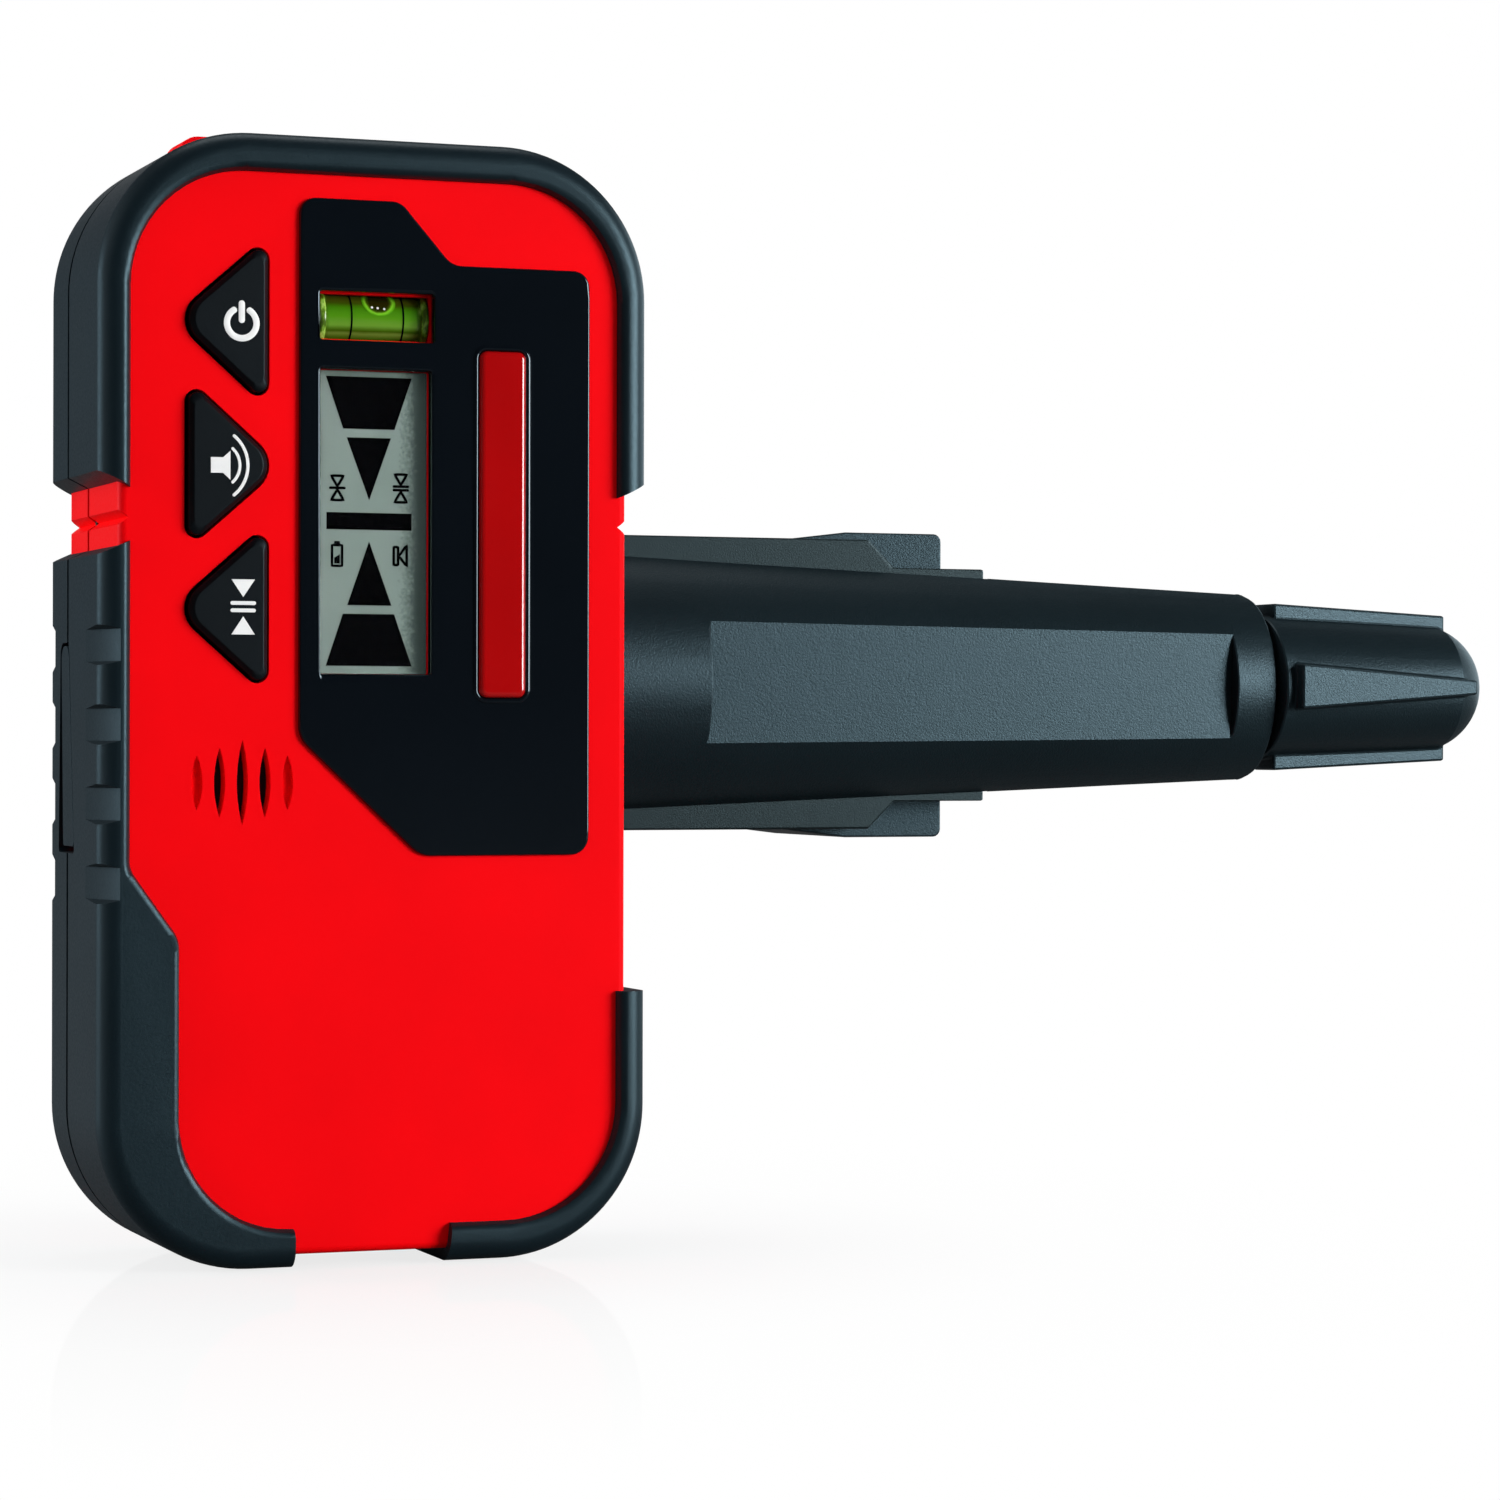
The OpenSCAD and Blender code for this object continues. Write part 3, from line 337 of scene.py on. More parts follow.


# level fluid: green bands that follow the height in the tube, their dark and bright bands painted shade and
# painted highlights for light bent through it, with paler painted glints towards its two ends
def fluidFinish(name, settings):
    material, tree, surface, place = startFinish(name)
    apart = partsOf(tree, place)
    height = spanOf(tree, apart["Z"], settings["low"], settings["high"], *settings["rise"])
    swirl = noiseOf(tree, place, settings["swirl"], detail=3.0, rough=0.6, stretch=settings["swirlStretch"])
    tint = rampOf(tree, mulAddOf(tree, swirl, settings["swirlShare"], height), settings["bands"])
    streak = noiseOf(
        tree, place, settings["streak"], detail=3.0, rough=0.65, stretch=settings["streakStretch"])
    paintedGlint = rampOf(tree, streak, settings["paintedGlints"])
    across = tree.nodes.new("ShaderNodeMath")
    across.operation = "ABSOLUTE"
    tree.links.new(spanOf(tree, apart["X"], *settings["ends"], -1.0, 1.0), across.inputs[0])
    fade = spanOf(tree, across.outputs["Value"], *settings["fade"], 0.0, 1.0)
    whole = tree.nodes.new("ShaderNodeMix")
    whole.data_type = "RGBA"
    tree.links.new(fade, whole.inputs["Factor"])
    tree.links.new(tint, whole.inputs["A"])
    tree.links.new(paintedGlint, whole.inputs["B"])
    tree.links.new(whole.outputs["Result"], surface.inputs["Base Color"])
    tree.links.new(spanOf(tree, swirl, *noiseSpan, *settings["roughness"]), surface.inputs["Roughness"])
    surface.inputs["Specular IOR Level"].default_value = settings["specular"]
    surface.inputs["Coat Weight"].default_value = settings["coat"]
    surface.inputs["Coat Roughness"].default_value = settings["coatRoughness"]
    return material


# bubble: painted light and shade, a dark middle inside a bright green rim for light bent round it, by the
# distance from its middle
def bubbleFinish(name, settings):
    material, tree, surface, place = startFinish(name)
    shift = tree.nodes.new("ShaderNodeMapping")
    shift.vector_type = "TEXTURE"
    shift.inputs["Location"].default_value = settings["middle"]
    shift.inputs["Scale"].default_value = settings["reach"]
    tree.links.new(place, shift.inputs["Vector"])
    far = lengthOf(tree, shift.outputs["Vector"])
    wave = noiseOf(tree, place, settings["wave"])
    tint = rampOf(tree, mulAddOf(tree, wave, settings["waveShare"], far), settings["rings"])
    tree.links.new(tint, surface.inputs["Base Color"])
    surface.inputs["Roughness"].default_value = settings["roughness"]
    surface.inputs["Specular IOR Level"].default_value = settings["specular"]
    return material


# cell jacket: dark wrap with a paler end, split along the cell
def jacketFinish(name, settings):
    material, tree, surface, place = startFinish(name)
    side = spanOf(tree, partsOf(tree, place)["X"], *settings["ends"], 0.0, 1.0)
    tree.links.new(rampOf(tree, side, settings["bands"]), surface.inputs["Base Color"])
    scuff = noiseOf(tree, place, settings["scuff"], detail=3.0)
    tree.links.new(spanOf(tree, scuff, *noiseSpan, *settings["roughness"]), surface.inputs["Roughness"])
    return material


boardGreen = boardFinish("boardGreen", {
    "tracks": 190.0, "waver": 6.0, "detail": 0.6, "roughness": 0.32, "bump": 0.3, "depth": 0.00004,
    "tints": [(0.45, (0.010, 0.085, 0.030)), (0.55, (0.022, 0.160, 0.055))]})
# the ramp's last stop is the painted shadow of the panel's edge along the glass's right side
displayGreyPaintedShade = displayFinish("displayGreyPaintedShade", {
    "left": -6.7 * mm, "right": 5.9 * mm, "speck": 2600.0, "speckShare": 0.22, "roughness": (0.35, 0.5),
    "tints": [(0.0, (0.245, 0.300, 0.280)), (0.86, (0.215, 0.272, 0.252)), (1.0, (0.075, 0.105, 0.098))]})
clearWindow = windowFinish("clearWindow", {
    "haze": 60.0, "roughness": (0.01, 0.03), "index": 1.08,
    "tints": [(0.3, (0.95, 0.97, 0.96)), (0.7, (1.0, 1.0, 1.0))]})
fluidGreenPaintedLight = fluidFinish("levelFluid", {
    "low": 102.3 * mm, "high": 108.1 * mm, "rise": (-0.04, 0.96),
    "ends": (-6.45 * mm, 5.95 * mm), "fade": (0.80, 0.90),
    "swirl": 520.0, "swirlStretch": (0.35, 1.0, 1.0), "swirlShare": 0.08,
    "streak": 900.0, "streakStretch": (1.0, 1.0, 0.45),
    "roughness": (0.08, 0.16), "specular": 0.3, "coat": 0.5, "coatRoughness": 0.03,
    "bands": [
        (0.03, (0.070, 0.040, 0.004)), (0.12, (0.070, 0.150, 0.005)), (0.20, (0.125, 0.230, 0.030)),
        (0.25, (0.036, 0.090, 0.002)), (0.36, (0.130, 0.300, 0.020)), (0.52, (0.070, 0.250, 0.005)),
        (0.68, (0.044, 0.190, 0.002)), (0.77, (0.034, 0.070, 0.002)), (0.93, (0.085, 0.088, 0.004))],
    "paintedGlints": [
        (0.34, (0.016, 0.024, 0.001)), (0.50, (0.060, 0.130, 0.004)), (0.60, (0.210, 0.400, 0.040)),
        (0.72, (0.420, 0.620, 0.140))]})
bubbleAt = (0.50, 107.1)  # x and z of the bubble's middle, millimetres
bubblePaintedLight = bubbleFinish("bubbleSkin", {
    "middle": (bubbleAt[0] * mm, -13.9 * mm, bubbleAt[1] * mm), "reach": (2.05 * mm, 4.0 * mm, 1.75 * mm),
    "wave": 1400.0, "waveShare": 0.14, "roughness": 0.2, "specular": 0.2,
    "rings": [
        (0.62, (0.015, 0.016, 0.001)), (0.76, (0.040, 0.080, 0.002)), (0.88, (0.190, 0.560, 0.020)),
        (1.02, (0.070, 0.300, 0.004))]})
cellJacket = jacketFinish("cellJacket", {
    "ends": (-24.0 * mm, 24.0 * mm), "scuff": 500.0, "roughness": (0.22, 0.36),
    "bands": [
        (0.0, (0.45, 0.45, 0.46)), (0.06, (0.016, 0.017, 0.020)), (0.70, (0.016, 0.017, 0.020)),
        (0.72, (0.30, 0.16, 0.06))]})
print("display, window, fluid and cell finishes made")


# edges: each CAD node is welded and its curves smoothed, and where it has an edge radius its flat faces
# are joined and its edges rounded

# soft, crisp and flat are in degrees, weld in metres, wide in millimetres
edgeSet = {"soft": 38.0, "crisp": 11.0, "flat": 0.4, "weld": 0.000004, "wide": 0.4}
crispNodes = {"clamp_barrel", "clamp_knob"}
# nodes whose rounding isn't held back by a short edge beside it
freeEdges = {"clamp_frame", "clamp_barrel", "clamp_knob", "sliding_jaw", "sensor_window"}


def softAngleGroup(limit):
    group = bpy.data.node_groups.new("softBelow%d" % limit, "GeometryNodeTree")
    group.interface.new_socket("Geometry", in_out="INPUT", socket_type="NodeSocketGeometry")
    group.interface.new_socket("Geometry", in_out="OUTPUT", socket_type="NodeSocketGeometry")
    start = group.nodes.new("NodeGroupInput")
    end = group.nodes.new("NodeGroupOutput")
    faces = group.nodes.new("GeometryNodeSetShadeSmooth")
    edges = group.nodes.new("GeometryNodeSetShadeSmooth")
    edges.domain = "EDGE"
    edges.inputs["Shade Smooth"].default_value = False
    angle = group.nodes.new("GeometryNodeInputMeshEdgeAngle")
    sharp = group.nodes.new("FunctionNodeCompare")
    sharp.operation = "GREATER_THAN"
    sharp.inputs["B"].default_value = math.radians(limit)
    group.links.new(angle.outputs["Unsigned Angle"], sharp.inputs["A"])
    group.links.new(start.outputs[0], faces.inputs["Geometry"])
    group.links.new(faces.outputs["Geometry"], edges.inputs["Geometry"])
    group.links.new(sharp.outputs["Result"], edges.inputs["Selection"])
    group.links.new(edges.outputs["Geometry"], end.inputs[0])
    return group


softByAngle = softAngleGroup(edgeSet["soft"])
crispByAngle = softAngleGroup(edgeSet["crisp"])


def softenShading(thing, group=softByAngle):
    soft = thing.modifiers.new("soft", "NODES")
    soft.node_group = group
    even = thing.modifiers.new("even", "WEIGHTED_NORMAL")
    even.keep_sharp = True


def finishNode(name, material, edge, segments):
    node = nodes[name]
    node.data.materials.clear()
    node.data.materials.append(material)
    weld = node.modifiers.new("weld", "WELD")
    weld.merge_threshold = edgeSet["weld"]
    if edge:
        flat = node.modifiers.new("flat", "DECIMATE")
        flat.decimate_type = "DISSOLVE"
        flat.angle_limit = math.radians(edgeSet["flat"])
        bevel = node.modifiers.new("edge", "BEVEL")
        bevel.width = edge * mm
        bevel.segments = segments
        bevel.limit_method = "ANGLE"
        bevel.angle_limit = math.radians(edgeSet["soft"])
        bevel.miter_outer = "MITER_ARC"
        bevel.use_clamp_overlap = name not in freeEdges
    softenShading(node, crispByAngle if name in crispNodes else softByAngle)


# node, finish, edge radius in millimetres
dressing = {
    "front_shell": (redShell, 0.3), "rear_shell": (redShell, 0.0), "battery_door": (redShell, 0.25),
    "shell_seal": (sealRubber, 0.0),
    "front_bumper_top": (bumperRubber, 0.3), "front_bumper_left": (bumperRubber, 0.3),
    "front_bumper_right": (bumperRubber, 0.3), "rear_bumper_top_left": (bumperRubber, 0.3),
    "rear_bumper_top_right": (bumperRubber, 0.3), "rear_bumper_left": (bumperRubber, 0.3),
    "rear_bumper_right": (bumperRubber, 0.3),
    "lens_panel": (panelBlack, 0.3), "display_window": (clearWindow, 0.0), "lcd_module": (displayGreyPaintedShade, 0.0),
    "sensor_window": (sensorRed, 0.6), "level_vial": (fluidGreenPaintedLight, 0.0),
    "main_board": (boardGreen, 0.0), "diode_strip": (boardGreen, 0.0), "photodiodes": (chipBlack, 0.1),
    "key_switches": (chipBlack, 0.1), "buzzer": (buzzerBlack, 0.2),
    "board_screws": (steelDrawn, 0.1), "case_screws": (steelDrawn, 0.1),
    "power_key": (keyRubber, 0.6), "sound_key": (keyRubber, 0.6), "mode_key": (keyRubber, 0.6),
    "battery_cells": (cellJacket, 0.2), "battery_contacts": (contactPlate, 0.0),
    "door_pin": (steelDrawn, 0.1),
    "release_lever": (bumperRubber, 0.2), "lever_pin": (steelDrawn, 0.1),
    "clamp_frame": (framePlastic, 0.3), "clamp_barrel": (clampPlastic, 0.25),
    "barrel_screws": (steelDrawn, 0.1), "fixed_pad": (padRubber, 0.2), "jaw_pad": (padRubber, 0.2),
    "sliding_jaw": (clampPlastic, 0.3), "jaw_nut": (nutBrass, 0.15), "spindle": (alloyTurned, 0.0),
    "thrust_collar": (alloyTurned, 0.1), "clamp_knob": (clampPlastic, 0.3), "knob_pin": (steelDrawn, 0.0),
}
for name, (finish, edge) in dressing.items():
    fine = edge > edgeSet["wide"] or finish is panelBlack
    finishNode(name, finish, edge, 4 if fine else 2)
print("CAD nodes dressed")


# surfaces: numpy arrays of points on a grid, gathered into one mesh per piece

def gridFaces(rows, columns, offset=0, closed=True):
    index = np.arange(rows * columns).reshape(rows, columns) + offset
    if closed:
        index = np.hstack([index, index[:, :1]])
    corners = (index[:-1, :-1], index[1:, :-1], index[1:, 1:], index[:-1, 1:])
    return np.stack(corners, -1).reshape(-1, 4)


meshSet = {"weld": 1e-8, "sliver": 1e-9}


# surfaces is a list of (rows, columns, 3) arrays; columns run round a closed ring
def makePiece(name, surfaces, body, material):
    points, faces, offset = [], [], 0
    for surface in surfaces:
        rows, columns = surface.shape[:2]
        points.append(surface.reshape(-1, 3))
        faces.append(gridFaces(rows, columns, offset))
        offset += rows * columns
    mesh = bpy.data.meshes.new(name)
    mesh.from_pydata(np.vstack(points).tolist(), [], np.vstack(faces).tolist())
    work = bmesh.new()
    work.from_mesh(mesh)
    bmesh.ops.remove_doubles(work, verts=work.verts, dist=meshSet["weld"])
    bmesh.ops.dissolve_degenerate(work, edges=work.edges, dist=meshSet["sliver"])
    bmesh.ops.recalc_face_normals(work, faces=work.faces)
    work.to_mesh(mesh)
    work.free()
    mesh.materials.append(material)
    piece = bpy.data.objects.new(name, mesh)
    bpy.context.scene.collection.objects.link(piece)
    softenShading(piece)
    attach(piece, body)
    return piece


# outline of a polygon with equal steps along each side
def walkOutline(corners, steps):
    corners = np.asarray(corners, float)
    along = np.linspace(0, 1, steps, endpoint=False)[None, :, None]
    after = np.roll(corners, -1, axis=0)
    return (corners[:, None] + (after - corners)[:, None] * along).reshape(-1, 2)


plateShares = np.array([0.0, 0.0, 1.0, 1.0, 0.985, 0.6, 0.0])  # of the outline, from back to front
strokeShares = np.array([-0.5, -0.5, -0.42, 0.42, 0.5, 0.5])  # of the width, across the stroke
strokeDrop = 0.03  # how far a stroke's edges lie behind its front, millimetres
capSteps = 6


# printed plate: rings shrink from the outline to its middle, the rim drops from front to back
def printedPlate(outline, front, back, rim=0.04):
    outline = np.asarray(outline, float)
    middle = outline.mean(axis=0)
    level = np.array([back, back, back, front + rim, front, front, front])
    flat = middle + (outline - middle)[None] * plateShares[:, None, None]
    depth = np.broadcast_to(level[:, None], flat.shape[:2])
    return np.stack([flat[..., 0], depth, flat[..., 1]], -1) * mm


# printed stroke: a low profile carried along a path, its width closing in a half circle at both ends
def printedStroke(path, width, front, back, closed=False):
    path = np.asarray(path, float)
    if closed:
        ahead = np.roll(path, -1, axis=0) - np.roll(path, 1, axis=0)
        swell = np.ones(len(path))
    else:
        cap = np.linspace(1, 0, capSteps, endpoint=False)
        leave = (path[0] - path[1]) / np.linalg.norm(path[0] - path[1])
        arrive = (path[-1] - path[-2]) / np.linalg.norm(path[-1] - path[-2])
        first = path[0] + leave * width / 2 * cap[:, None]
        last = path[-1] + arrive * width / 2 * cap[::-1, None]
        path = np.vstack([first, path, last])
        narrow = np.sqrt(np.clip(1 - cap ** 2, 0, 1))
        swell = np.concatenate([narrow, np.ones(len(path) - 2 * capSteps), narrow[::-1]])
        ahead = np.gradient(path, axis=0)
    ahead /= np.linalg.norm(ahead, axis=1, keepdims=True)
    side = np.stack([-ahead[:, 1], ahead[:, 0]], -1)
    reach = strokeShares * width
    edge = front + strokeDrop
    level = np.array([back, edge, front, front, edge, back])
    flat = path[:, None] + side[:, None] * (reach[None, :] * swell[:, None])[..., None]
    depth = np.broadcast_to(level[None], flat.shape[:2])
    rows = np.stack([flat[..., 0], depth, flat[..., 1]], -1) * mm
    if closed:
        rows = np.concatenate([rows, rows[:1]], 0)
    return rows


def arcPath(centre, radius, start, end, count=28):
    turn = np.radians(np.linspace(start, end, count))
    return np.stack([centre[0] + radius * np.cos(turn), centre[1] + radius * np.sin(turn)], -1)


def linePath(first, last, count=4):
    return np.linspace(first, last, count)


# key marks: white print on the three keys, as x and z in millimetres

markSet = {"front": -16.745, "back": -16.66, "stroke": 0.70}
markFront, markBack = markSet["front"], markSet["back"]

powerSet = {"middle": (-15.85, 103.85), "radius": 1.66, "arc": (122, 418), "bar": (106.0, 104.2)}
powerPaths = [
    arcPath(powerSet["middle"], powerSet["radius"], *powerSet["arc"], 44),
    linePath(*[(powerSet["middle"][0], z) for z in powerSet["bar"]])]
makePiece("powerMark", [
    printedStroke(path, markSet["stroke"], markFront, markBack) for path in powerPaths
], "power_key", markWhite)

soundSet = {
    "speaker": [(-19.28, 87.39), (-17.9, 87.39), (-17.08, 86.66),
                (-17.08, 89.84), (-17.9, 89.11), (-19.28, 89.11)],
    # middle, radius, half angle, points and width of each wave
    "waves": [((-18.53, 88.25), 2.5, 47, 20, 0.34), ((-19.29, 88.25), 4.16, 51, 24, 0.36)],
}
makePiece("soundMark", [
    printedPlate(walkOutline(soundSet["speaker"], 5), markFront, markBack),
    *[printedStroke(arcPath(middle, radius, -half, half, count), width, markFront, markBack)
      for middle, radius, half, count, width in soundSet["waves"]],
], "sound_key", markWhite)

modeSet = {
    "arrows": [[(-16.95, 75.8), (-14.3, 75.8), (-15.62, 73.85)],
               [(-16.95, 69.75), (-15.62, 71.75), (-14.3, 69.75)]],
    "bars": (73.2, 72.4), "left": -16.85, "right": -14.4, "barWidth": 0.42,
}
makePiece("modeMark", [
    *[printedPlate(walkOutline(arrow, 6), markFront, markBack) for arrow in modeSet["arrows"]],
    *[printedStroke(linePath((modeSet["left"], z), (modeSet["right"], z)),
                    modeSet["barWidth"], markFront, markBack) for z in modeSet["bars"]],
], "mode_key", markWhite)
print("key marks printed")


# display: segments and small symbols just in front of the glass, as x and z in millimetres

displaySet = {"front": -14.51, "back": -14.435, "line": 0.31, "rim": 0.02}
segFront, segBack, segLine = displaySet["front"], displaySet["back"], displaySet["line"]
bigShapes = [
    [(-5.76, 98.6), (4.14, 98.6), (2.14, 92.8), (-3.76, 92.8)],
    [(-3.36, 91.85), (1.74, 91.85), (-0.76, 84.9)],
    [(-5.66, 83.5), (4.14, 83.5), (4.14, 81.6), (-5.66, 81.6)],
    [(-0.76, 80.3), (1.84, 73.2), (-3.26, 73.2)],
    [(-3.76, 72.25), (2.14, 72.25), (4.19, 66.45), (-5.71, 66.45)],
]
symbolSet = {
    "oneBar": (-4.41, 86.2), "twoBars": (2.89, 86.3),
    "wide": 0.72, "tall": 1.05, "foot": 0.18, "point": 0.05, "rise": {1: 0.12, 2: 0.32},
    "barHalf": 0.8, "barLevels": {1: (0.0,), 2: (-0.2, 0.2)},
    "batteryFrame": [(-5.01, 77.55), (-3.86, 77.55), (-3.86, 79.85), (-5.01, 79.85)],
    "batteryTip": [(-4.76, 79.95), (-4.11, 79.95), (-4.11, 80.3), (-4.76, 80.3)],
    "batteryLevel": [(-4.76, 77.8), (-4.11, 77.8), (-4.11, 78.85), (-4.76, 78.45)],
    "hornBody": [(2.09, 77.75), (2.59, 77.75), (2.59, 79.75), (2.09, 79.75)],
    "hornMouth": [(2.69, 78.75), (3.59, 80.0), (3.59, 77.6)],
}


def segmentPlate(corners, steps):
    return printedPlate(walkOutline(corners, steps), segFront, segBack, displaySet["rim"])


def symbolLoop(corners):
    return printedStroke(walkOutline(corners, 5), segLine, segFront, segBack, True)


# span symbol: two triangles that point at one bar or two
def spanSymbol(settings, place, bars):
    x, z = place
    wide, half = settings["wide"], settings["barHalf"]
    near = settings["rise"][bars] + settings["point"]
    far = settings["rise"][bars] + settings["tall"] + settings["foot"]
    upper = [(x - wide, z + far), (x + wide, z + far), (x, z + near)]
    lower = [(x - wide, z - far), (x, z - near), (x + wide, z - far)]
    lines = [linePath((x - half, z + level), (x + half, z + level)) for level in settings["barLevels"][bars]]
    return [symbolLoop(upper), symbolLoop(lower),
            *[printedStroke(line, segLine, segFront, segBack) for line in lines]]


makePiece("displaySegments", [segmentPlate(shape, 6) for shape in bigShapes],
          "receiver", segmentBlack)
makePiece("displaySymbols", [
    *spanSymbol(symbolSet, symbolSet["oneBar"], 1),
    *spanSymbol(symbolSet, symbolSet["twoBars"], 2),
    symbolLoop(symbolSet["batteryFrame"]),
    segmentPlate(symbolSet["batteryTip"], 3),
    segmentPlate(symbolSet["batteryLevel"], 3),
    symbolLoop(symbolSet["hornBody"]),
    symbolLoop(symbolSet["hornMouth"]),
], "receiver", segmentBlack)
print("display drawn")


# sensor window: a soft raised rim, a half round carried round a rounded rectangle

rimSet = {"centre": (14.2, 82.4), "half": (3.05, 19.75), "corner": 1.25,
          "width": 0.6, "height": 0.2, "seat": -16.2, "sunk": 0.15, "steps": 11}


def roundedLoop(centre, half, corner, count=10):
    quarter = np.radians(np.linspace(0, 90, count))
    arc = np.stack([np.cos(quarter), np.sin(quarter)], -1) * corner
    turns = [np.array([[1, 0], [0, 1]]), np.array([[0, -1], [1, 0]]),
             np.array([[-1, 0], [0, -1]]), np.array([[0, 1], [-1, 0]])]
    inner = np.array(half) - corner
    signs = np.array([[1, 1], [-1, 1], [-1, -1], [1, -1]])
    return np.vstack([arc @ turn.T + signs[i] * inner for i, turn in enumerate(turns)]) + np.array(centre)


def halfRoundRim(settings):
    path = roundedLoop(settings["centre"], settings["half"], settings["corner"])
    ahead = np.roll(path, -1, axis=0) - np.roll(path, 1, axis=0)
    ahead /= np.linalg.norm(ahead, axis=1, keepdims=True)
    side = np.stack([ahead[:, 1], -ahead[:, 0]], -1)
    around = np.radians(np.linspace(0, 180, settings["steps"]))
    reach = np.concatenate([np.cos(around), [-1.0, 1.0]]) * settings["width"] / 2
    under = [settings["sunk"]] * 2
    level = np.concatenate([-np.sin(around) * settings["height"], under]) + settings["seat"]
    flat = path[:, None] + side[:, None] * reach[None, :, None]
    depth = np.broadcast_to(level[None], flat.shape[:2])
    rows = np.stack([flat[..., 0], depth, flat[..., 1]], -1) * mm
    return np.concatenate([rows, rows[:1]], 0)


makePiece("sensorRim", [halfRoundRim(rimSet)], "receiver", panelBlack)
print("sensor rim made")


# level: dark rings round the tube, caps on its ends and a bubble lying against its front and top

vialSet = {
    "axis": (-11.4, 105.2), "radius": 2.9, "sides": 64, "sunk": 0.1,
    "rings": (-2.72, 3.23), "ringWidth": 0.2, "ringLift": 0.03,
    "caps": ((-6.55, -5.75), (5.25, 6.05)), "capRadius": 3.55, "capSoft": 0.25,
    "bubble": bubbleAt, "bubbleSize": (1.95, 1.65), "bubbleSkin": 0.03, "heights": (102.4, 108.0),
    "paintedGlintDots": ((-0.35, 106.42), (0.30, 106.36), (1.05, 106.28)), "paintedGlintSize": (0.13, 0.13), "paintedGlintSkin": 0.05,
    "frontRings": 16, "backRings": 6, "patchSides": 48,
}


# turned round the tube's axis: x and reach are the profile, y and z go round it
def turnedOnTube(settings, x, reach):
    turn = np.linspace(0, 2 * np.pi, settings["sides"], endpoint=False)
    y = settings["axis"][0] + reach[:, None] * np.cos(turn)[None]
    z = settings["axis"][1] + reach[:, None] * np.sin(turn)[None]
    return np.stack([np.broadcast_to(x[:, None], y.shape), y, z], -1) * mm


def vialRing(settings, x):
    across = np.array([-0.5, -0.5, 0.5, 0.5, -0.5]) * settings["ringWidth"] + x
    inner, outer = -settings["sunk"], settings["ringLift"]
    return turnedOnTube(settings, across, settings["radius"] + np.array([inner, outer, outer, inner, inner]))


# cap: a short turned plug, its rim rounded by an arc at both ends
def vialCap(settings, span):
    bend = np.radians(np.linspace(0, 90, 6))
    soft = settings["capSoft"]
    flat = settings["capRadius"] - soft
    left = span[0] + soft - soft * np.cos(bend)
    right = span[1] - soft + soft * np.sin(bend)
    x = np.concatenate([[span[0]], left, right, [span[1]]])
    reach = np.concatenate([[0], flat + soft * np.sin(bend), flat + soft * np.cos(bend), [0]])
    return turnedOnTube(settings, x, reach)


# patch: an ellipse laid on the front of the tube and closed by the same ellipse a little deeper
def tubePatch(settings, middle, size, skin):
    front, back = settings["frontRings"], settings["backRings"]
    share = np.concatenate([np.linspace(0, 1, front), np.linspace(1, 0, back)])[:, None]
    turn = np.linspace(0, 2 * np.pi, settings["patchSides"], endpoint=False)[None]
    x = middle[0] + size[0] * share * np.cos(turn)
    z = np.clip(middle[1] + size[1] * share * np.sin(turn), *settings["heights"])
    lift = np.where(np.arange(front + back)[:, None] < front, skin, -settings["sunk"])
    y = settings["axis"][0] - np.sqrt((settings["radius"] + lift) ** 2 - (z - settings["axis"][1]) ** 2)
    return np.stack([x, y, z], -1) * mm


makePiece("vialRings", [vialRing(vialSet, x) for x in vialSet["rings"]],
          "receiver", segmentBlack)
makePiece("vialCaps", [vialCap(vialSet, span) for span in vialSet["caps"]],
          "receiver", fluidGreenPaintedLight)
makePiece("vialBubble", [tubePatch(vialSet, vialSet["bubble"], vialSet["bubbleSize"], vialSet["bubbleSkin"])],
          "receiver", bubblePaintedLight)
# three small white dots on the bubble: painted glints
makePiece("bubblePaintedGlints", [
    tubePatch(vialSet, glintDot, vialSet["paintedGlintSize"], vialSet["paintedGlintSkin"]) for glintDot in vialSet["paintedGlintDots"]
], "receiver", markWhite)
print("level dressed")


# spindle: a left-hand thread, its height a rounded saw along x plus a share of the turn

spindleSet = {
    "axis": (25.0, 65.4), "start": 33.3, "end": 150.6, "tip": 39.8, "threadEnd": 87.8, "step": 0.05,
    "pitch": 4.0, "core": 2.5, "crest": 3.0, "neck": 2.0, "runOut": 3.0,
    "ridgeHalf": 0.30, "ridgeFlank": 0.10,  # shares of the pitch
    "threadRows": 385, "sides": 48,
}


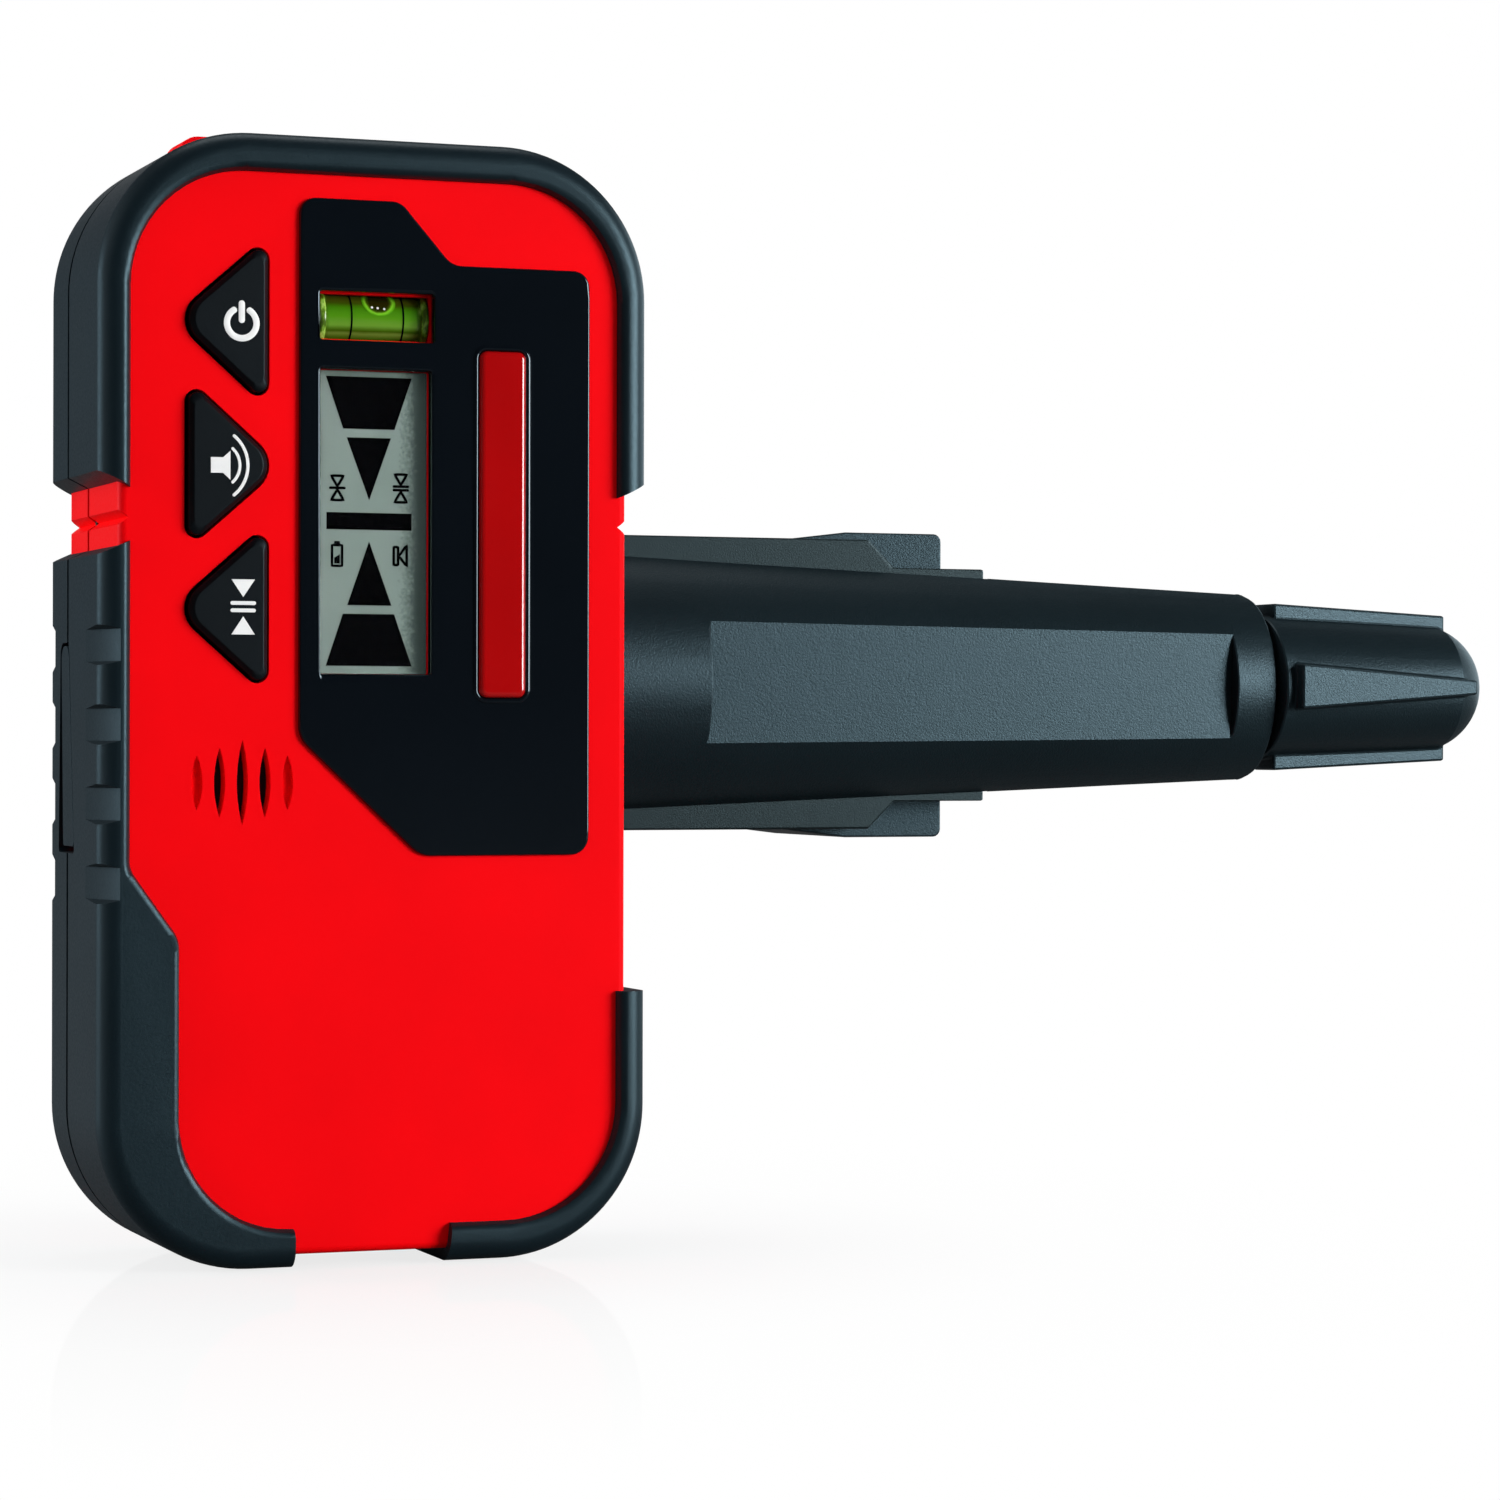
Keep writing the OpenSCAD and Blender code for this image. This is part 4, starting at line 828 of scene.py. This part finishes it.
def threadedRod(settings):
    tip, threadEnd, step = settings["tip"], settings["threadEnd"], settings["step"]
    x = np.concatenate([
        [settings["start"]], np.linspace(settings["start"], tip - step, 3),
        np.linspace(tip, threadEnd, settings["threadRows"]),
        np.linspace(threadEnd + step, settings["end"], 5), [settings["end"]]])[:, None]
    turn = np.linspace(0, 2 * np.pi, settings["sides"], endpoint=False)[None]
    phase = np.mod(x / settings["pitch"] + turn / (2 * np.pi), 1.0)
    ridge = np.clip((settings["ridgeHalf"] - np.abs(phase - 0.5)) / settings["ridgeFlank"], 0, 1)
    ridge = ridge * ridge * (3 - 2 * ridge)
    fromTip = np.clip((x - tip) / settings["runOut"], 0, 1)
    toEnd = np.clip((threadEnd - x) / settings["runOut"], 0, 1)
    rise = np.minimum(fromTip * toEnd * 2, 1)
    threaded = settings["core"] + (settings["crest"] - settings["core"]) * ridge * rise
    plain = np.where(x < tip, settings["neck"], settings["crest"])
    inThread = (x >= tip) & (x <= threadEnd)
    radius = np.where(inThread, threaded, plain + 0 * turn)
    radius[0], radius[-1] = 0, 0
    y = settings["axis"][0] + radius * np.cos(turn)
    z = settings["axis"][1] + radius * np.sin(turn)
    return np.stack([x + 0 * turn, y, z], -1) * mm


threadRod = makePiece("threadedSpindle", [threadedRod(spindleSet)], "knob", alloyTurned)
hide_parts("spindle")
print("thread cut")


# case screws: low domed heads with a cross recess, the recess a smooth dip along two bars

screwSet = {
    "places": [(-21.0, 114.0), (21.0, 114.0), (-23.2, 46.8), (23.2, 46.8)],
    "top": 9.6, "under": 7.6, "tip": -8.0, "head": 2.2, "shankShare": 0.55, "dome": 0.28,
    "bar": 0.42, "barSoft": 0.16, "reach": 1.35, "reachSoft": 0.25, "depth": 0.85,
    "rings": 26, "sides": 72,
}


def crossScrew(settings, place):
    rings, shank = settings["rings"], settings["shankShare"]
    share = np.concatenate([np.linspace(0, 1, rings), [1.0, shank, shank, 0.0]])[:, None]
    level = np.concatenate([
        np.full(rings, settings["top"]), [settings["under"]] * 2, [settings["tip"]] * 2])[:, None]
    turn = np.linspace(0, 2 * np.pi, settings["sides"], endpoint=False)[None] + np.pi / 8
    radius = share * settings["head"]
    u, v = radius * np.cos(turn), radius * np.sin(turn)
    arm = np.minimum(np.abs(u), np.abs(v))
    across = np.clip((settings["bar"] - arm) / settings["barSoft"], 0, 1)
    inBar = across * np.clip((settings["reach"] - radius) / settings["reachSoft"], 0, 1)
    dome = settings["dome"] * (radius / settings["head"]) ** 2
    onTop = np.arange(len(share))[:, None] < rings
    y = level - np.where(onTop, dome + settings["depth"] * inBar, 0)
    return np.stack([place[0] + u, y, place[1] + v], -1) * mm


caseScrews = makePiece("crossScrews", [crossScrew(screwSet, place) for place in screwSet["places"]],
                       "receiver", steelDrawn)
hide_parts("case_screws")
print("screws cut")


# stage: a white floor with a faint mirror that fades away from the object, a studio world and four lamps

stageSet = {
    "floorSize": 12.0, "floorDrop": 0.0002, "floorRows": 5,
    "mirror": 0.06, "mirrorReach": (0.03, 0.16), "mirrorRoughness": 0.05,
    "shade": 0.16, "shadeReach": (0.03, 0.09),
    "bounce": 0.22,  # how pale the floor is to the object's own light
    "paper": 0.93,  # how pale its shaded part is to the camera
    "gloss": 0.6,  # share of the bounce that shiny faces see
    "ambient": (0.30, 0.31, 0.33), "sideGlow": (5.60, 5.60, 5.66), "dark": (0.030, 0.034, 0.040),
    "glowFrom": (-0.94, 0.34, 0), "glowSpan": (0.66, 0.95),
    "stripFrom": (0.358, 0.934, 0), "stripSpan": (0.90, 0.96),
    "stripFoot": (0.03, 0.08), "stripHead": (0.22, 0.30),
}


def smoothSpan(tree, value, low, high, outLow=0.0, outHigh=1.0):
    result = spanOf(tree, value, low, high, outLow, outHigh)
    result.node.interpolation_type = "SMOOTHSTEP"
    return result


def floorFinish(settings):
    material = bpy.data.materials.new("studioFloor")
    material.use_nodes = True
    tree = material.node_tree
    tree.nodes.clear()
    out = tree.nodes.new("ShaderNodeOutputMaterial")
    path = tree.nodes.new("ShaderNodeLightPath")
    place = tree.nodes.new("ShaderNodeTexCoord")
    far = lengthOf(tree, place.outputs["Object"])
    mirrorShare = smoothSpan(tree, far, *settings["mirrorReach"], settings["mirror"], 0.0)
    shadeShare = smoothSpan(tree, far, *settings["shadeReach"], settings["shade"], 0.0)
    lit = tree.nodes.new("ShaderNodeBsdfDiffuse")
    tone = spanOf(tree, path.outputs["Is Camera Ray"], 0.0, 1.0, settings["bounce"], settings["paper"])
    dim = spanOf(tree, path.outputs["Is Glossy Ray"], 0.0, 1.0, 1.0, settings["gloss"])
    tree.links.new(mathOf(tree, "MULTIPLY", tone, dim), lit.inputs["Color"])
    white = tree.nodes.new("ShaderNodeEmission")
    white.inputs["Color"].default_value = (1, 1, 1, 1)
    base = tree.nodes.new("ShaderNodeMixShader")
    seen = mathOf(tree, "MULTIPLY", path.outputs["Is Camera Ray"], mathOf(tree, "SUBTRACT", 1.0, shadeShare))
    tree.links.new(seen, base.inputs["Fac"])
    tree.links.new(lit.outputs["BSDF"], base.inputs[1])
    tree.links.new(white.outputs["Emission"], base.inputs[2])
    shine = tree.nodes.new("ShaderNodeBsdfGlossy")
    shine.inputs["Roughness"].default_value = settings["mirrorRoughness"]
    whole = tree.nodes.new("ShaderNodeMixShader")
    tree.links.new(mathOf(tree, "MULTIPLY", mirrorShare, path.outputs["Is Camera Ray"]), whole.inputs["Fac"])
    tree.links.new(base.outputs["Shader"], whole.inputs[1])
    tree.links.new(shine.outputs["BSDF"], whole.inputs[2])
    tree.links.new(whole.outputs["Shader"], out.inputs["Surface"])
    return material


def makeFloor(settings):
    half, drop, rows = settings["floorSize"], settings["floorDrop"], settings["floorRows"]
    steps = np.linspace(-half, half, rows)
    x, y = np.meshgrid(steps, steps, indexing="ij")
    points = np.stack([x, y, np.full_like(x, -drop)], -1).reshape(-1, 3)
    faces = gridFaces(rows, rows, 0, False)
    mesh = bpy.data.meshes.new("studioFloor")
    mesh.from_pydata(points.tolist(), [], faces.tolist())
    mesh.materials.append(floorFinish(settings))
    floor = bpy.data.objects.new("studioFloor", mesh)
    bpy.context.scene.collection.objects.link(floor)


# the world is white to the camera and through the window; matt faces see an even light and a glow from
# the left, and shiny faces see a dark room with one low white strip behind the object
def makeWorld(settings):
    world = bpy.data.worlds.new("studioWorld")
    bpy.context.scene.world = world
    world.use_nodes = True
    tree = world.node_tree
    tree.nodes.clear()
    out = tree.nodes.new("ShaderNodeOutputWorld")
    path = tree.nodes.new("ShaderNodeLightPath")
    place = tree.nodes.new("ShaderNodeTexCoord")
    toward = place.outputs["Generated"]
    height = partsOf(tree, toward)["Z"]
    strip = mathOf(tree, "MULTIPLY", smoothSpan(tree, height, *settings["stripFoot"]),
                   smoothSpan(tree, height, *settings["stripHead"], 1.0, 0.0))
    behind = smoothSpan(tree, dotOf(tree, toward, settings["stripFrom"]), *settings["stripSpan"])
    strip = mathOf(tree, "MULTIPLY", strip, behind)

    def background(colour):
        node = tree.nodes.new("ShaderNodeBackground")
        node.inputs["Color"].default_value = (*colour, 1)
        return node.outputs["Background"]

    def blend(share, first, second):
        node = tree.nodes.new("ShaderNodeMixShader")
        tree.links.new(share, node.inputs["Fac"])
        tree.links.new(first, node.inputs[1])
        tree.links.new(second, node.inputs[2])
        return node.outputs["Shader"]

    white = background((1, 1, 1))
    shiny = blend(strip, background(settings["dark"]), white)
    glow = smoothSpan(tree, dotOf(tree, toward, settings["glowFrom"]), *settings["glowSpan"])
    matt = blend(glow, background(settings["ambient"]), background(settings["sideGlow"]))
    unseen = blend(path.outputs["Is Glossy Ray"], matt, shiny)
    seen = mathOf(tree, "MAXIMUM", path.outputs["Is Camera Ray"], path.outputs["Is Transmission Ray"])
    tree.links.new(blend(seen, unseen, white), out.inputs["Surface"])


# lamp name: place, aim, size, watts, colour
lampSet = {
    "rightLamp": ((0.95, -0.84, 0.20), (0.05, 0.0, 0.07), 0.70, 24.5, (1.0, 1.0, 1.0)),
    "leftLamp": ((-0.96, 0.58, 0.16), (0.00, 0.0, 0.06), 0.55, 2.4, (0.66, 0.88, 1.0)),
    "rearLamp": ((1.05, 0.40, 0.14), (0.05, 0.0, 0.07), 1.10, 5.0, (0.74, 0.92, 1.0)),
    "topLamp": ((0.10, 0.35, 1.10), (0.02, 0.0, 0.06), 0.70, 2.0, (1.0, 1.0, 1.0)),
}


def makeLamps(lamps):
    for name, (place, aim, size, watts, colour) in lamps.items():
        lamp = bpy.data.lights.new(name, "AREA")
        lamp.shape = "DISK"
        lamp.size = size
        lamp.energy = watts
        lamp.color = colour
        holder = bpy.data.objects.new(name, lamp)
        holder.location = place
        holder.rotation_euler = (Vector(aim) - Vector(place)).to_track_quat("-Z", "Y").to_euler()
        bpy.context.scene.collection.objects.link(holder)


makeFloor(stageSet)
makeWorld(stageSet)
makeLamps(lampSet)
print("stage set")
